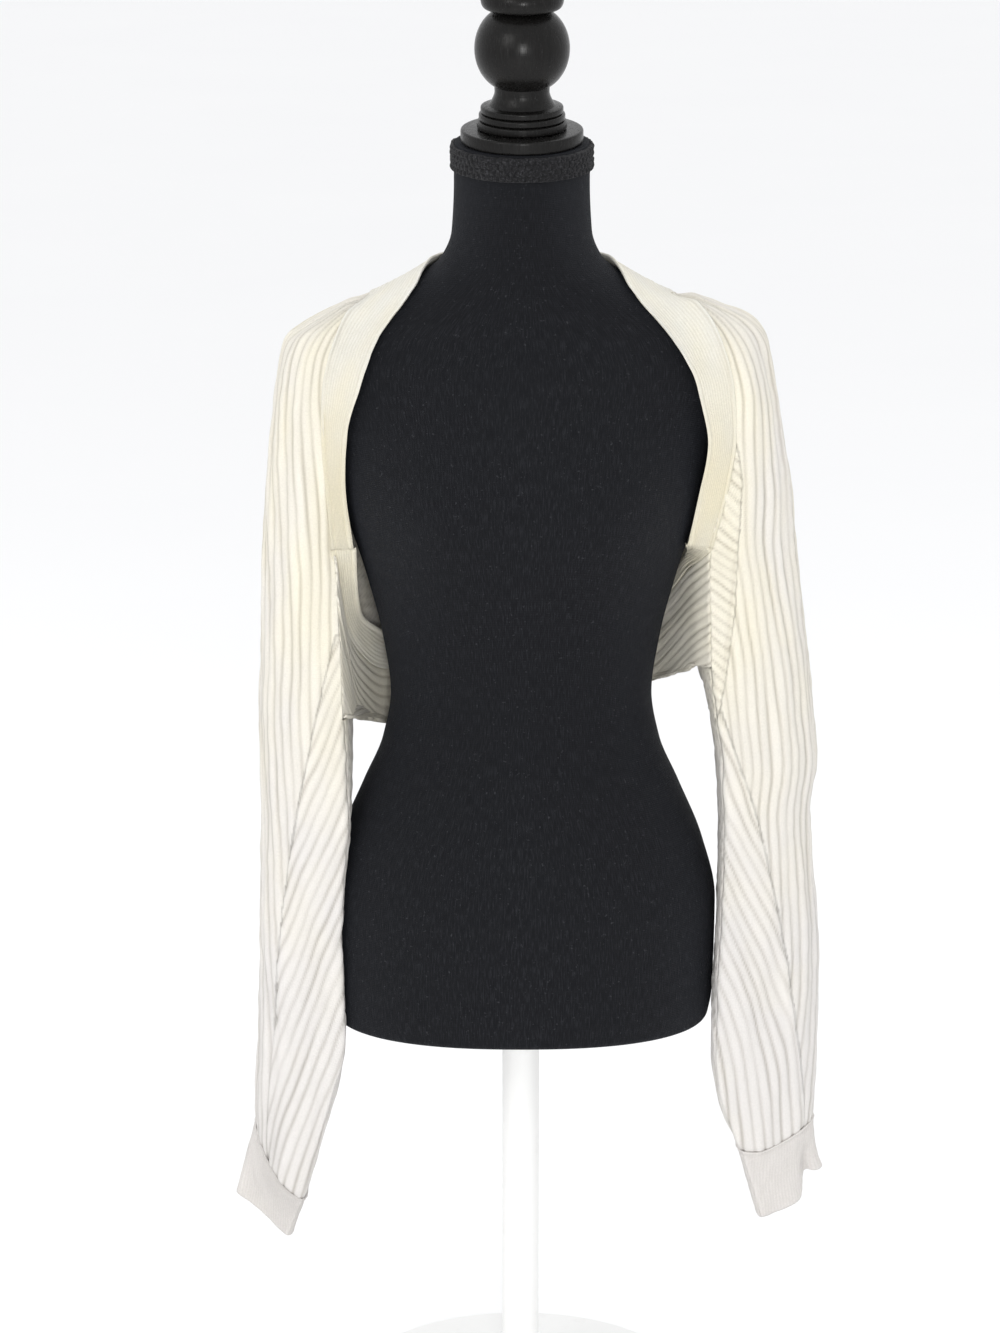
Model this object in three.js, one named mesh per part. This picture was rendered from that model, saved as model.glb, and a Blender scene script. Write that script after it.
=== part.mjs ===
// A knitted rib shrug on the limbless dress form that it rests on.
// Millimetres, +Z up, front towards -Y. The wearer's right side is at -X.
// The origin is the middle of the stand base's underside.
import * as THREE from 'three';

// ---- driving dimensions -------------------------------------------------------------------------
const LEVEL_LIFT = 364;       // the level line, from which all heights are taken, above the floor
const FORM_BOTTOM = -9;       // underside of the form's body, as a height
const KNIT_WALL = 2.2;        // wide rib knit
const BAND_WALL = 3;          // fine rib, knitted double
const CLEARANCE = 2.0;        // cloth to form
const SEAM_TRIM = 0.5;        // each sewn edge stops this far short of its seam line
const CREASE_TRIM = 1.5;      // more room where two pieces meet at a sharp fold
const HEM_TRIM = 1.2;         // and where the back panel meets the hem band
const RIGHT = -1;             // side signs on X
const LEFT = 1;

const BASE_RADIUS = 150;
const BASE_THICKNESS = 14;
const POLE_RADIUS = 16;
const FLANGE_RADIUS = 46;
const FLANGE_THICKNESS = 8;
const SEAT_GAP = 0.3;         // between hard pieces that rest on each other
const CAP_RADIUS = 50.5;
const CAP_THICKNESS = 11;
const CAP_LEAN = 7;           // degrees that the neck's top leans forward
const TRIM_WALL = 3;          // braid round the neck
const TRIM_HEIGHT = 21;
const TRIM_EDGE = 2;          // its rounded edges
const TRIM_BELOW = 1;         // its top edge below the neck's top

const COLOURS = {
  knit: 0xece6d6,
  band: 0xe9e0c8,
  jersey: 0x1b1d22,
  braid: 0x121316,
  wood: 0x15130f,
  paint: 0xe6e6e3,
};

// ---- the form's sections: height over the level line, half width, depth forward and backward of
// its middle line, that line's place on Y, squareness of the section, lean of the section ----------
const FORM_SECTIONS = [
  { height: FORM_BOTTOM, half: 161, front: 109, back: 105, middle: 0, square: 2.3, lean: 0 },
  { height: 14, half: 165, front: 111, back: 108, middle: 0, square: 2.3, lean: 0 },
  { height: 96, half: 167, front: 112, back: 112, middle: 2, square: 2.3, lean: 0 },
  { height: 145, half: 156, front: 106, back: 108, middle: 3, square: 2.3, lean: 0 },
  { height: 196, half: 135, front: 96, back: 94, middle: 4, square: 2.2, lean: 0 },
  { height: 236, half: 118, front: 87, back: 82, middle: 4, square: 2.15, lean: 0 },
  { height: 277, half: 111, front: 82, back: 77, middle: 4, square: 2.1, lean: 0 },
  { height: 324, half: 117, front: 86, back: 80, middle: 3, square: 2.1, lean: 0 },
  { height: 381, half: 131, front: 97, back: 87, middle: 1, square: 2.15, lean: 0 },
  { height: 440, half: 149, front: 106, back: 92, middle: 0, square: 2.2, lean: 0 },
  { height: 500, half: 162, front: 97, back: 92, middle: 2, square: 2.2, lean: 0 },
  { height: 540, half: 174, front: 84, back: 86, middle: 4, square: 2.2, lean: 0 },
  { height: 565, half: 181, front: 73, back: 77, middle: 5, square: 2.1, lean: 0 },
  { height: 582, half: 176, front: 64, back: 68, middle: 5, square: 2, lean: 0 },
  { height: 597, half: 156, front: 60, back: 62, middle: 4, square: 2, lean: 0 },
  { height: 614, half: 124, front: 58, back: 60, middle: 2, square: 2, lean: 0 },
  { height: 632, half: 90, front: 57, back: 58, middle: -1, square: 2, lean: 0 },
  { height: 649, half: 67, front: 55, back: 56, middle: -5, square: 2, lean: 0.02 },
  { height: 672, half: 58, front: 52, back: 53, middle: -9, square: 2, lean: 0.05 },
  { height: 715, half: 56, front: 52, back: 52, middle: -13, square: 2, lean: 0.1 },
  { height: 746, half: 56, front: 52, back: 52, middle: -16, square: 2, lean: 0.123 },
];
const BUST = { height: 448, spread: 62, reach: 11, from_middle: 68, width: 46, start: 4 };
const FORM_RINGS = 44;
const FORM_SIDES = 40;
const TURNED_SIDES = 24;

// ---- the line on the back where the sleeves are sewn to the back panel ---------------------------
const BACK_SEAM = [
  { height: 240, out: 147, depth: 59 },
  { height: 300, out: 150, depth: 62 },
  { height: 380, out: 153, depth: 63 },
  { height: 485, out: 157, depth: 58 },
  { height: 525, out: 157, depth: 54 },
  { height: 560, out: 154, depth: 46 },
  { height: 583, out: 148, depth: 36 },
  { height: 597, out: 140, depth: 28 },
  { height: 609, out: 130, depth: 20 },
  { height: 618, out: 121, depth: 12 },
];

// ---- the neck band's seam down the front, from the top of the shoulder to the underarm: its height,
// its place, and how closely it lies on the form (0 hangs free, 1 lies on it) -----------------------
const FRONT_SEAM_RIGHT = [
  { height: 394, out: 155, depth: -46, grip: 0 },
  { height: 414, out: 157, depth: -46, grip: 0 },
  { height: 469, out: 161.5, depth: -47, grip: 0 },
  { height: 510, out: 164, depth: -49, grip: 0 },
  { height: 544, out: 163, depth: -52, grip: 0.3 },
  { height: 573, out: 158, depth: -50, grip: 0.7 },
  { height: 601, out: 147, depth: -38, grip: 1 },
  { height: 615, out: 135, depth: -20, grip: 1 },
  { height: 620, out: 126, depth: -6, grip: 1 },
];
const FRONT_SEAM_LEFT = [
  { height: 394, out: 156, depth: -46, grip: 0 },
  { height: 416, out: 158, depth: -46, grip: 0 },
  { height: 463, out: 170, depth: -47, grip: 0 },
  { height: 508, out: 176, depth: -50, grip: 0 },
  { height: 546, out: 174, depth: -53, grip: 0.3 },
  { height: 574, out: 168, depth: -51, grip: 0.6 },
  { height: 604, out: 154, depth: -38, grip: 0.8 },
  { height: 617, out: 139, depth: -20, grip: 1 },
  { height: 622, out: 127, depth: -6, grip: 1 },
];

// ---- sleeve sections, from the cuff seam to the shoulder. Each place is [out from the middle, Y,
// height]. `front` is the inner front edge, then the crease, then only a height on the neck band's
// seam; `edge` is the outer edge, then the shoulder ridge; `back` is the inner back edge, or only a
// height where it follows BACK_SEAM. `tuck` is how far a closed section swells towards the form. ---
const SLEEVE_RIGHT = [
  { front: [190, -42, -161], edge: [229, -14, -104], back: [196, 12, -149], tuck: 6 },
  { front: [178, -50, -120], edge: [229, -14, -68], back: [184, 14, -108], tuck: 6 },
  { front: [161, -57, -66], edge: [226, -14, -24], back: [170, 18, -54], tuck: 5 },
  { front: [150, -62, -20], edge: [225, -13, 8], back: [166, 22, -8], tuck: 4 },
  { front: [151, -65, 50], edge: [224, -12, 62], back: [168, 26, 52], tuck: 4 },
  { front: [150, -66, 115], edge: [222, -10, 120], back: [166, 30, 115], tuck: 4 },
  { front: [146, -64, 170], edge: [221, -8, 172], back: [160, 36, 170], tuck: 4 },
  { front: [147, -60, 218], edge: [222, -6, 216], back: [151, 50, 217], tuck: 4 },
  { front: [150, -57, 267], edge: [222, -4, 264], back: 264, tuck: 4 },
  { front: [151, -54, 310], edge: [220, -3, 305], back: 306, tuck: 0 },
  { front: [153, -50, 352], edge: [219, -2, 346], back: 347, tuck: 0 },
  { front: 394, edge: [218, -1, 385], back: 386, tuck: 0 },
  { front: 441, edge: [215, 0, 431], back: 430, tuck: 0 },
  { front: 502, edge: [211, 0, 484], back: 480, tuck: 0 },
  { front: 541, edge: [206, 0, 524], back: 520, tuck: 0 },
  { front: 571, edge: [202, 1, 556], back: 550, tuck: 0 },
  { front: 594, edge: [196, 2, 580], back: 574, tuck: 0 },
  { front: 607, edge: [180, 3, 592], back: 592, tuck: 0 },
  { front: 616, edge: [156, 4, 605], back: 606, tuck: 0 },
  { front: 620, edge: [134, 4, 616], back: 615, tuck: 0 },
];
const SLEEVE_LEFT = [
  { front: [192, -40, -130], edge: [253, -10, -102], back: [196, 14, -121], tuck: 6 },
  { front: [176, -46, -90], edge: [255, -10, -68], back: [182, 18, -84], tuck: 6 },
  { front: [168, -54, -38], edge: [256, -10, -26], back: [176, 24, -34], tuck: 6 },
  { front: [167, -60, 20], edge: [256, -10, 24], back: [176, 28, 20], tuck: 5 },
  { front: [169, -63, 75], edge: [254, -9, 78], back: [176, 32, 75], tuck: 4 },
  { front: [171, -63, 130], edge: [249, -8, 130], back: [176, 38, 130], tuck: 4 },
  { front: [171, -61, 180], edge: [246, -7, 180], back: [175, 46, 180], tuck: 4 },
  { front: [170, -59, 222], edge: [251, -6, 222], back: [172, 52, 222], tuck: 4 },
  { front: [164, -58, 268], edge: [247, -5, 266], back: [163, 58, 266], tuck: 3 },
  { front: [159, -57, 310], edge: [243, -4, 306], back: 306, tuck: 3 },
  { front: [158, -53, 350], edge: [238, -3, 344], back: 345, tuck: 0 },
  { front: [157, -49, 386], edge: [234, -2, 380], back: 381, tuck: 0 },
  { front: 416, edge: [230, -1, 415], back: 412, tuck: 0 },
  { front: 462, edge: [226, 0, 456], back: 452, tuck: 0 },
  { front: 508, edge: [218, 0, 501], back: 494, tuck: 0 },
  { front: 545, edge: [213, 0, 532], back: 526, tuck: 0 },
  { front: 573, edge: [208, 0, 560], back: 553, tuck: 0 },
  { front: 597, edge: [203, 1, 583], back: 576, tuck: 0 },
  { front: 611, edge: [190, 3, 598], back: 594, tuck: 0 },
  { front: 618, edge: [166, 4, 608], back: 607, tuck: 0 },
  { front: 622, edge: [138, 4, 618], back: 615, tuck: 0 },
];
const FIRST_OPEN_RIGHT = 8;   // the row above which a sleeve's section is open towards the back panel
const FIRST_OPEN_LEFT = 9;
const SLEEVE_ROWS = 2;        // steps between two rows of the table
const SLEEVE_FRONT_STEPS = 8;
const SLEEVE_BACK_STEPS = 8;
const SLEEVE_INNER_STEPS = 6;
const SLEEVE_SQUARE = 2.5;
const GRIP = { low: 585, high: 612, inner: 112, outer: 145 };   // where the shoulders carry the cloth

// ---- back panel: what hangs inside, from the turned-under fold up to the hem band's seam. `across`
// is 0 at the middle of the back and 1 at the crease in front of the underarm ---------------------
const TURN_RIGHT = [
  { across: 0, fold: [0, 86, 243], hem: [0, 88, 277] },
  { across: 0.3, fold: [62, 78, 240], hem: [62, 78, 278] },
  { across: 0.55, fold: [116, 46, 241], hem: [118, 46, 285] },
  { across: 0.7, fold: [132, 16, 249], hem: [138, 16, 307] },
  { across: 0.8, fold: [140, -10, 256], hem: [148, -8, 334] },
  { across: 0.9, fold: [142, -32, 262], hem: [152, -28, 368] },
  { across: 1, fold: [147, -52, 268], hem: [154, -42, 390] },
];
const TURN_LEFT = [
  { across: 0, fold: [0, 86, 243], hem: [0, 88, 277] },
  { across: 0.3, fold: [60, 80, 256], hem: [60, 76, 298] },
  { across: 0.55, fold: [113, 46, 277], hem: [111, 45, 338] },
  { across: 0.7, fold: [132, 16, 290], hem: [131, 17, 366] },
  { across: 0.8, fold: [143, -10, 299], hem: [141, -8, 386] },
  { across: 0.9, fold: [148, -33, 307], hem: [148, -28, 397] },
  { across: 1, fold: [154, -52, 313], hem: [153, -42, 403] },
];
const BACK_TOP = 614;          // the neck band's seam at the nape
const BACK_MIDDLE = [
  { height: 240, depth: 97 },
  { height: 330, depth: 99 },
  { height: 440, depth: 100 },
  { height: 520, depth: 96 },
  { height: 590, depth: 76 },
  { height: 618, depth: 64 },
];
const BACK_ROUND = 0.8;        // how flat the back is from side to side: less is flatter
const FOLD_DROP = 8;           // roundness of the turned-under fold
const FOLD_TUCK = 4.8;         // how far the fold tucks in sideways at the underarm
const BACK_COLUMNS = 30;
const BACK_ROWS = 13;
const BACK_ROW_EASE = 1.35;    // rows lie closer together towards the top
const FOLD_STEPS = 4;
const TURN_ROWS = 4;

// ---- bands: `seam` is the edge sewn to the rib knit, or only its height where it follows the front
// seam, and `rim` is the free edge round the opening ----------------------------------------------
const NECK_BAND_RIGHT = [
  { seam: 412, rim: [140, -45, 413], grip: 0 },
  { seam: 469, rim: [145.5, -52, 468], grip: 0 },
  { seam: 510, rim: [143, -58, 510], grip: 0 },
  { seam: 544, rim: [135, -64, 548], grip: 0.3 },
  { seam: 573, rim: [125, -62, 587], grip: 0.7 },
  { seam: 601, rim: [109, -52, 616], grip: 1 },
  { seam: 615, rim: [92, -36, 636], grip: 1 },
  { seam: 620, rim: [78, -10, 644], grip: 1 },
  { seam: [114, 17, 616], rim: [69, 18, 648], grip: 1 },
  { seam: [88, 42, 615], rim: [56, 38, 650], grip: 1 },
  { seam: [46, 60, 615], rim: [32, 50, 652], grip: 1 },
  { seam: [0, 64, 615], rim: [0, 54, 653], grip: 1 },
];
const NECK_BAND_LEFT = [
  { seam: 415, rim: [138, -45, 416], grip: 0 },
  { seam: 463, rim: [146, -52, 457], grip: 0 },
  { seam: 508, rim: [153, -58, 502], grip: 0 },
  { seam: 546, rim: [148, -62, 549], grip: 0.3 },
  { seam: 574, rim: [132, -62, 590], grip: 0.6 },
  { seam: 604, rim: [112, -52, 617], grip: 0.8 },
  { seam: 617, rim: [93, -36, 637], grip: 1 },
  { seam: 622, rim: [79, -10, 645], grip: 1 },
  { seam: [114, 17, 617], rim: [69, 18, 648], grip: 1 },
  { seam: [88, 42, 615], rim: [56, 38, 650], grip: 1 },
  { seam: [46, 60, 615], rim: [32, 50, 652], grip: 1 },
  { seam: [0, 64, 615], rim: [0, 54, 653], grip: 1 },
];
const HEM_BAND_RIGHT = [
  { seam: [154, -42, 408], rim: [140, -41, 409], grip: 0 },
  { seam: [152, -28, 372], rim: [138, -28, 377], grip: 0 },
  { seam: [148, -8, 336], rim: [136, -4, 347], grip: 0 },
  { seam: [138, 16, 309], rim: [125, 22, 329], grip: 0 },
  { seam: [118, 46, 287], rim: [109, 48, 316], grip: 0 },
  { seam: [62, 78, 280], rim: [60, 78, 310], grip: 0 },
  { seam: [0, 88, 279], rim: [0, 89, 309], grip: 0 },
];
const HEM_BAND_LEFT = [
  { seam: [153, -42, 409], rim: [138, -41, 412], grip: 0 },
  { seam: [148, -28, 402], rim: [137, -22, 411], grip: 0 },
  { seam: [141, -8, 390], rim: [137, -2, 404], grip: 0 },
  { seam: [131, 17, 369], rim: [129, 22, 393], grip: 0 },
  { seam: [111, 45, 341], rim: [108, 50, 367], grip: 0 },
  { seam: [60, 76, 300], rim: [60, 78, 330], grip: 0 },
  { seam: [0, 88, 279], rim: [0, 89, 309], grip: 0 },
];
const BAND_STEPS = 3;          // steps between two rows of a band's table
const BAND_CELLS = 2;          // cells across a band

// ---- cuffs: the same places as in the sleeve tables, from the seam to the open end ---------------
const CUFF_RIGHT = [
  { front: [190, -42, -160.6], edge: [229, -14, -103.6], back: [196, 12, -148.6], tuck: 6 },
  { front: [196, -38, -180], edge: [238, -14, -136], back: [201, 8, -169], tuck: 6 },
  { front: [203, -34, -203], edge: [246, -14, -168], back: [207, 6, -193], tuck: 5 },
];
const CUFF_LEFT = [
  { front: [192, -40, -129.5], edge: [253, -10, -101.5], back: [196, 14, -120.5], tuck: 6 },
  { front: [201, -37, -157], edge: [254, -10, -131], back: [205, 12, -149], tuck: 6 },
  { front: [210, -34, -187], edge: [259, -10, -163], back: [214, 12, -179], tuck: 5 },
];

// ---- interpolation ------------------------------------------------------------------------------
// A smooth curve through (places, values) that never overshoots between two of them.
function smoothCurve(places, values) {
  const last = places.length - 1;
  const slopes = [];
  for (let i = 0; i < last; i += 1) {
    slopes.push((values[i + 1] - values[i]) / (places[i + 1] - places[i]));
  }
  const tangents = places.map((place, i) => {
    const before = slopes[Math.max(i - 1, 0)];
    const after = slopes[Math.min(i, last - 1)];
    return before * after <= 0 ? 0 : (2 * before * after) / (before + after);
  });
  return (place) => {
    const inside = Math.min(Math.max(place, places[0]), places[last]);
    let i = places.findIndex((end) => end >= inside) - 1;
    i = Math.min(Math.max(i, 0), last - 1);
    const step = places[i + 1] - places[i];
    const t = (inside - places[i]) / step;
    const bend = step * t * (1 - t);
    const ease = t * t * (3 - 2 * t);
    return values[i] + (values[i + 1] - values[i]) * ease
      + bend * ((1 - t) * tangents[i] - t * tangents[i + 1]);
  };
}

// One smooth curve for each column of a table, against one of its columns.
function tableCurves(rows, key) {
  const places = rows.map((row) => row[key]);
  const names = Object.keys(rows[0]).filter((name) => name !== key);
  const curves = names.map((name) => smoothCurve(places, rows.map((row) => row[name])));
  return (place) => Object.fromEntries(names.map((name, i) => [name, curves[i](place)]));
}

// The same for a table whose columns hold places [out, y, height], against the row's number.
function placeCurve(rows, name) {
  const numbers = rows.map((row, i) => i);
  const axes = [0, 1, 2].map((axis) => smoothCurve(numbers, rows.map((row) => row[name][axis])));
  return (number) => axes.map((curve) => curve(number));
}

const mix = (a, b, t) => a + (b - a) * t;
const mixPlaces = (a, b, t) => a.map((value, axis) => mix(value, b[axis], t));

// ---- the dress form's surface -------------------------------------------------------------------
const formSection = tableCurves(FORM_SECTIONS, 'height');

// How far out a place is on the form's own scale: 1 is on its surface.
function formLevel([x, y, height]) {
  const section = formSection(height);
  const offset = y - section.middle;
  const depth = offset < 0 ? section.front : section.back;
  const sum = Math.abs(x / section.half) ** section.square + Math.abs(offset / depth) ** section.square;
  return sum ** (1 / section.square);
}

// Moves a place off the form, to `gap` from it; with `grip`, it also draws it in from further away.
function settle(place, gap, grip = 0) {
  const probe = 0.5;
  const rounds = 4;
  let moved = [...place];
  for (let round = 0; round < rounds; round += 1) {
    const level = formLevel(moved);
    const gradient = moved.map((value, axis) => {
      const beside = [...moved];
      beside[axis] += probe;
      return (formLevel(beside) - level) / probe;
    });
    const steep = Math.hypot(...gradient);
    const short = gap - (level - 1) / steep;
    const travel = short > 0 ? short : short * grip;
    moved = moved.map((value, axis) => value + (gradient[axis] / steep) * travel);
  }
  return moved;
}

// ---- solids -------------------------------------------------------------------------------------
function solid(vertices, triangles) {
  const geometry = new THREE.BufferGeometry();
  geometry.setAttribute('position', new THREE.Float32BufferAttribute(vertices.flatMap((v) => v), 3));
  geometry.setIndex(triangles.flat());
  geometry.computeVertexNormals();
  return geometry;
}

// A cloth wall on a sheet of quads: its two faces lie half a wall to either side, its free edges are
// closed, and each edge first draws back by trim(vertex number).
function clothWall(places, quads, wall, trim) {
  const points = places.map((place) => new THREE.Vector3(...place));
  const normals = points.map(() => new THREE.Vector3());
  const edges = new Map();
  quads.forEach((quad) => {
    const across = points[quad[2]].clone().sub(points[quad[0]]);
    const facing = across.cross(points[quad[3]].clone().sub(points[quad[1]])).normalize();
    quad.forEach((corner, i) => {
      normals[corner].add(facing);
      const next = quad[(i + 1) % quad.length];
      const twin = `${next}:${corner}`;
      if (edges.has(twin)) {
        edges.delete(twin);
      } else {
        edges.set(`${corner}:${next}`, [corner, next]);
      }
    });
  });
  normals.forEach((normal) => normal.normalize());

  const draws = new Map();
  edges.forEach(([from, to]) => {
    [from, to].forEach((corner) => {
      const along = points[to].clone().sub(points[from]).normalize();
      const inward = normals[corner].clone().cross(along);
      draws.set(corner, (draws.get(corner) ?? new THREE.Vector3()).add(inward));
    });
  });
  draws.forEach((inward, corner) => points[corner].addScaledVector(inward.normalize(), trim(corner)));

  const lay = (side) => points.map((point, i) => point.clone().addScaledVector(normals[i], side * wall / 2));
  const vertices = [...lay(1), ...lay(-1)].map((point) => point.toArray());
  const under = points.length;
  const triangles = [];
  quads.forEach(([a, b, c, d]) => {
    triangles.push([a, b, c], [a, c, d]);
    triangles.push([under + a, under + c, under + b], [under + a, under + d, under + c]);
  });
  edges.forEach(([from, to]) => {
    triangles.push([from, under + from, under + to], [from, under + to, to]);
  });
  return solid(vertices, triangles);
}

// Turns [x, y, height] into a place in the object.
const lifted = ([x, y, height]) => [x, y, height + LEVEL_LIFT];

// A quarter of a rounded section: share 0 is on its flat end, 1 on its outermost edge.
function quarter(flatEnd, edge, share, square) {
  const angle = (share * Math.PI) / 2;
  const reach = Math.sin(angle) ** (2 / square);
  const depth = Math.cos(angle) ** (2 / square);
  return [mix(flatEnd[0], edge[0], reach), mix(edge[1], flatEnd[1], depth), mix(flatEnd[2], edge[2], reach)];
}

// ---- sleeves and cuffs --------------------------------------------------------------------------
const backSeam = tableCurves(BACK_SEAM, 'height');
const frontSeams = {
  [RIGHT]: tableCurves(FRONT_SEAM_RIGHT, 'height'),
  [LEFT]: tableCurves(FRONT_SEAM_LEFT, 'height'),
};

// A place that a table gives in full, or by its height on a seam.
function seamPlace(given, seam) {
  if (Array.isArray(given)) {
    return given;
  }
  const { out, depth } = seam(given);
  return [out, depth, given];
}

// How closely cloth lies on the form: only on top of its shoulders, where the form carries it.
function shoulderGrip(out, height) {
  const up = THREE.MathUtils.smoothstep(height, GRIP.low, GRIP.high);
  return up * (1 - THREE.MathUtils.smoothstep(out, GRIP.inner, GRIP.outer));
}

// One section of a sleeve or cuff: from its front edge round the outer edge to its back edge, and on
// round the side next to the form.
function sleeveSection(curves, number) {
  const [front, edge, back] = [curves.front(number), curves.edge(number), curves.back(number)];
  const places = [];
  for (let i = 0; i < SLEEVE_FRONT_STEPS; i += 1) {
    places.push(quarter(front, edge, i / SLEEVE_FRONT_STEPS, SLEEVE_SQUARE));
  }
  for (let i = 0; i <= SLEEVE_BACK_STEPS; i += 1) {
    places.push(quarter(back, edge, 1 - i / SLEEVE_BACK_STEPS, SLEEVE_SQUARE));
  }
  for (let i = 1; i < SLEEVE_INNER_STEPS; i += 1) {
    const angle = (i / SLEEVE_INNER_STEPS) * Math.PI;
    const place = mixPlaces(back, front, (1 - Math.cos(angle)) / 2);
    place[0] -= curves.tuck(number) * Math.sin(angle);
    places.push(place);
  }
  return places;
}

function sleeveCurves(table, side) {
  const rows = table.map((row) => ({
    ...row,
    front: seamPlace(row.front, frontSeams[side]),
    back: seamPlace(row.back, backSeam),
  }));
  return {
    front: placeCurve(rows, 'front'),
    edge: placeCurve(rows, 'edge'),
    back: placeCurve(rows, 'back'),
    tuck: smoothCurve(rows.map((row, i) => i), rows.map((row) => row.tuck)),
  };
}

// A tube through the table's sections, open on its inner side past row `firstOpen`.
function sleeveWall(table, side, firstOpen, wall, rowSteps) {
  const curves = sleeveCurves(table, side);
  const around = SLEEVE_FRONT_STEPS + SLEEVE_BACK_STEPS + SLEEVE_INNER_STEPS;
  const openColumns = SLEEVE_FRONT_STEPS + SLEEVE_BACK_STEPS;
  const rowCount = (table.length - 1) * rowSteps + 1;
  const openRow = firstOpen * rowSteps;
  const gap = wall / 2 + CLEARANCE;
  const places = [];
  for (let row = 0; row < rowCount; row += 1) {
    sleeveSection(curves, row / rowSteps).forEach((place) => {
      const [out, y, height] = settle(place, gap, shoulderGrip(place[0], place[2]));
      places.push(lifted([out * side, y, height]));
    });
  }
  const quads = [];
  for (let row = 0; row < rowCount - 1; row += 1) {
    const columns = row < openRow ? around : openColumns;
    for (let column = 0; column < columns; column += 1) {
      const next = (column + 1) % around;
      const corners = [row * around + column, row * around + next, (row + 1) * around + next,
        (row + 1) * around + column];
      quads.push(side === RIGHT ? corners.reverse() : corners);
    }
  }
  return usedOnly(places, quads, wall, () => SEAM_TRIM);
}

// Leaves out the places that no quad uses, then thickens the sheet.
function usedOnly(places, quads, wall, trim) {
  const kept = [...new Set(quads.flat())].sort((a, b) => a - b);
  const numbers = new Map(kept.map((old, fresh) => [old, fresh]));
  const keptPlaces = kept.map((old) => places[old]);
  const keptQuads = quads.map((quad) => quad.map((old) => numbers.get(old)));
  return clothWall(keptPlaces, keptQuads, wall, (fresh) => trim(kept[fresh]));
}

// ---- back panel ---------------------------------------------------------------------------------
const backMiddle = tableCurves(BACK_MIDDLE, 'height');

function turnCurves(table) {
  const places = table.map((row) => row.across);
  const along = (name) => {
    const axes = [0, 1, 2].map((axis) => smoothCurve(places, table.map((row) => row[name][axis])));
    return (across) => axes.map((curve) => curve(across));
  };
  return { fold: along('fold'), hem: along('hem') };
}

// A place on the outer layer of the back; across runs from 0 in the middle to 1 at the sleeve.
function outerBack(across, height) {
  const seam = backSeam(height);
  const swell = Math.cos((across * Math.PI) / 2) ** BACK_ROUND;
  return [across * seam.out, mix(seam.depth, backMiddle(height).depth, swell), height];
}

// One section of the back: down its outer layer, round the turned-under fold, up to the hem band.
function backSection(curves, across) {
  const fold = curves.fold(across);
  const hem = curves.hem(across);
  const places = [];
  for (let i = 0; i < BACK_ROWS; i += 1) {
    places.push(outerBack(across, mix(BACK_TOP, fold[2], (i / BACK_ROWS) ** BACK_ROW_EASE)));
  }
  const outerFold = outerBack(across, fold[2]);
  const sideways = across ** 4;
  for (let i = 0; i < FOLD_STEPS; i += 1) {
    const angle = (i / FOLD_STEPS) * Math.PI;
    const place = mixPlaces(outerFold, fold, (1 - Math.cos(angle)) / 2);
    place[0] -= FOLD_TUCK * sideways * Math.sin(angle);
    place[2] -= FOLD_DROP * (1 - sideways) * Math.sin(angle);
    places.push(place);
  }
  for (let i = 0; i <= TURN_ROWS; i += 1) {
    places.push(mixPlaces(fold, hem, i / TURN_ROWS));
  }
  return places;
}

function backPanel() {
  const right = turnCurves(TURN_RIGHT);
  const left = turnCurves(TURN_LEFT);
  const gap = KNIT_WALL / 2 + CLEARANCE;
  const rows = BACK_ROWS + FOLD_STEPS + TURN_ROWS + 1;
  const places = [];
  for (let column = 0; column <= BACK_COLUMNS; column += 1) {
    const across = (2 * column) / BACK_COLUMNS - 1;
    const side = across < 0 ? RIGHT : LEFT;
    backSection(across < 0 ? right : left, Math.abs(across)).forEach((place) => {
      const [out, y, height] = settle(place, gap, shoulderGrip(place[0], place[2]));
      places.push(lifted([out * side, y, height]));
    });
  }
  const quads = [];
  for (let column = 0; column < BACK_COLUMNS; column += 1) {
    for (let row = 0; row < rows - 1; row += 1) {
      const first = column * rows + row;
      quads.push([first, first + 1, first + rows + 1, first + rows]);
    }
  }
  return clothWall(places, quads, KNIT_WALL, (number) => {
    const column = Math.floor(number / rows);
    const atSide = column === 0 || column === BACK_COLUMNS;
    const row = number % rows;
    if (row === rows - 1) {
      return HEM_TRIM;
    }
    return atSide && row >= BACK_ROWS ? CREASE_TRIM : SEAM_TRIM;
  });
}

// ---- bands --------------------------------------------------------------------------------------
function bandWall(rightTable, leftTable) {
  const rows = [
    ...rightTable.map((row) => ({ ...row, side: RIGHT })),
    ...leftTable.slice(0, -1).reverse().map((row) => ({ ...row, side: LEFT })),
  ];
  const sided = ([out, y, height], side) => [out * side, y, height];
  const placed = rows.map(({ seam, rim, grip, side }) => ({
    seam: sided(seamPlace(seam, frontSeams[side]), side),
    rim: sided(rim, side),
    grip,
  }));
  const seam = placeCurve(placed, 'seam');
  const rim = placeCurve(placed, 'rim');
  const grip = smoothCurve(placed.map((row, i) => i), placed.map((row) => row.grip));
  const count = (placed.length - 1) * BAND_STEPS;
  const gap = BAND_WALL / 2 + CLEARANCE;
  const places = [];
  for (let step = 0; step <= count; step += 1) {
    const number = step / BAND_STEPS;
    const sewn = seam(number);
    const sewnGrip = shoulderGrip(Math.abs(sewn[0]), sewn[2]);
    for (let cell = 0; cell <= BAND_CELLS; cell += 1) {
      const share = cell / BAND_CELLS;
      const place = mixPlaces(sewn, rim(number), share);
      places.push(lifted(settle(place, gap, mix(sewnGrip, grip(number), share))));
    }
  }
  const quads = [];
  const stride = BAND_CELLS + 1;
  for (let step = 0; step < count; step += 1) {
    for (let cell = 0; cell < BAND_CELLS; cell += 1) {
      const first = step * stride + cell;
      quads.push([first, first + 1, first + stride + 1, first + stride]);
    }
  }
  return clothWall(places, quads, BAND_WALL, () => SEAM_TRIM);
}

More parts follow.
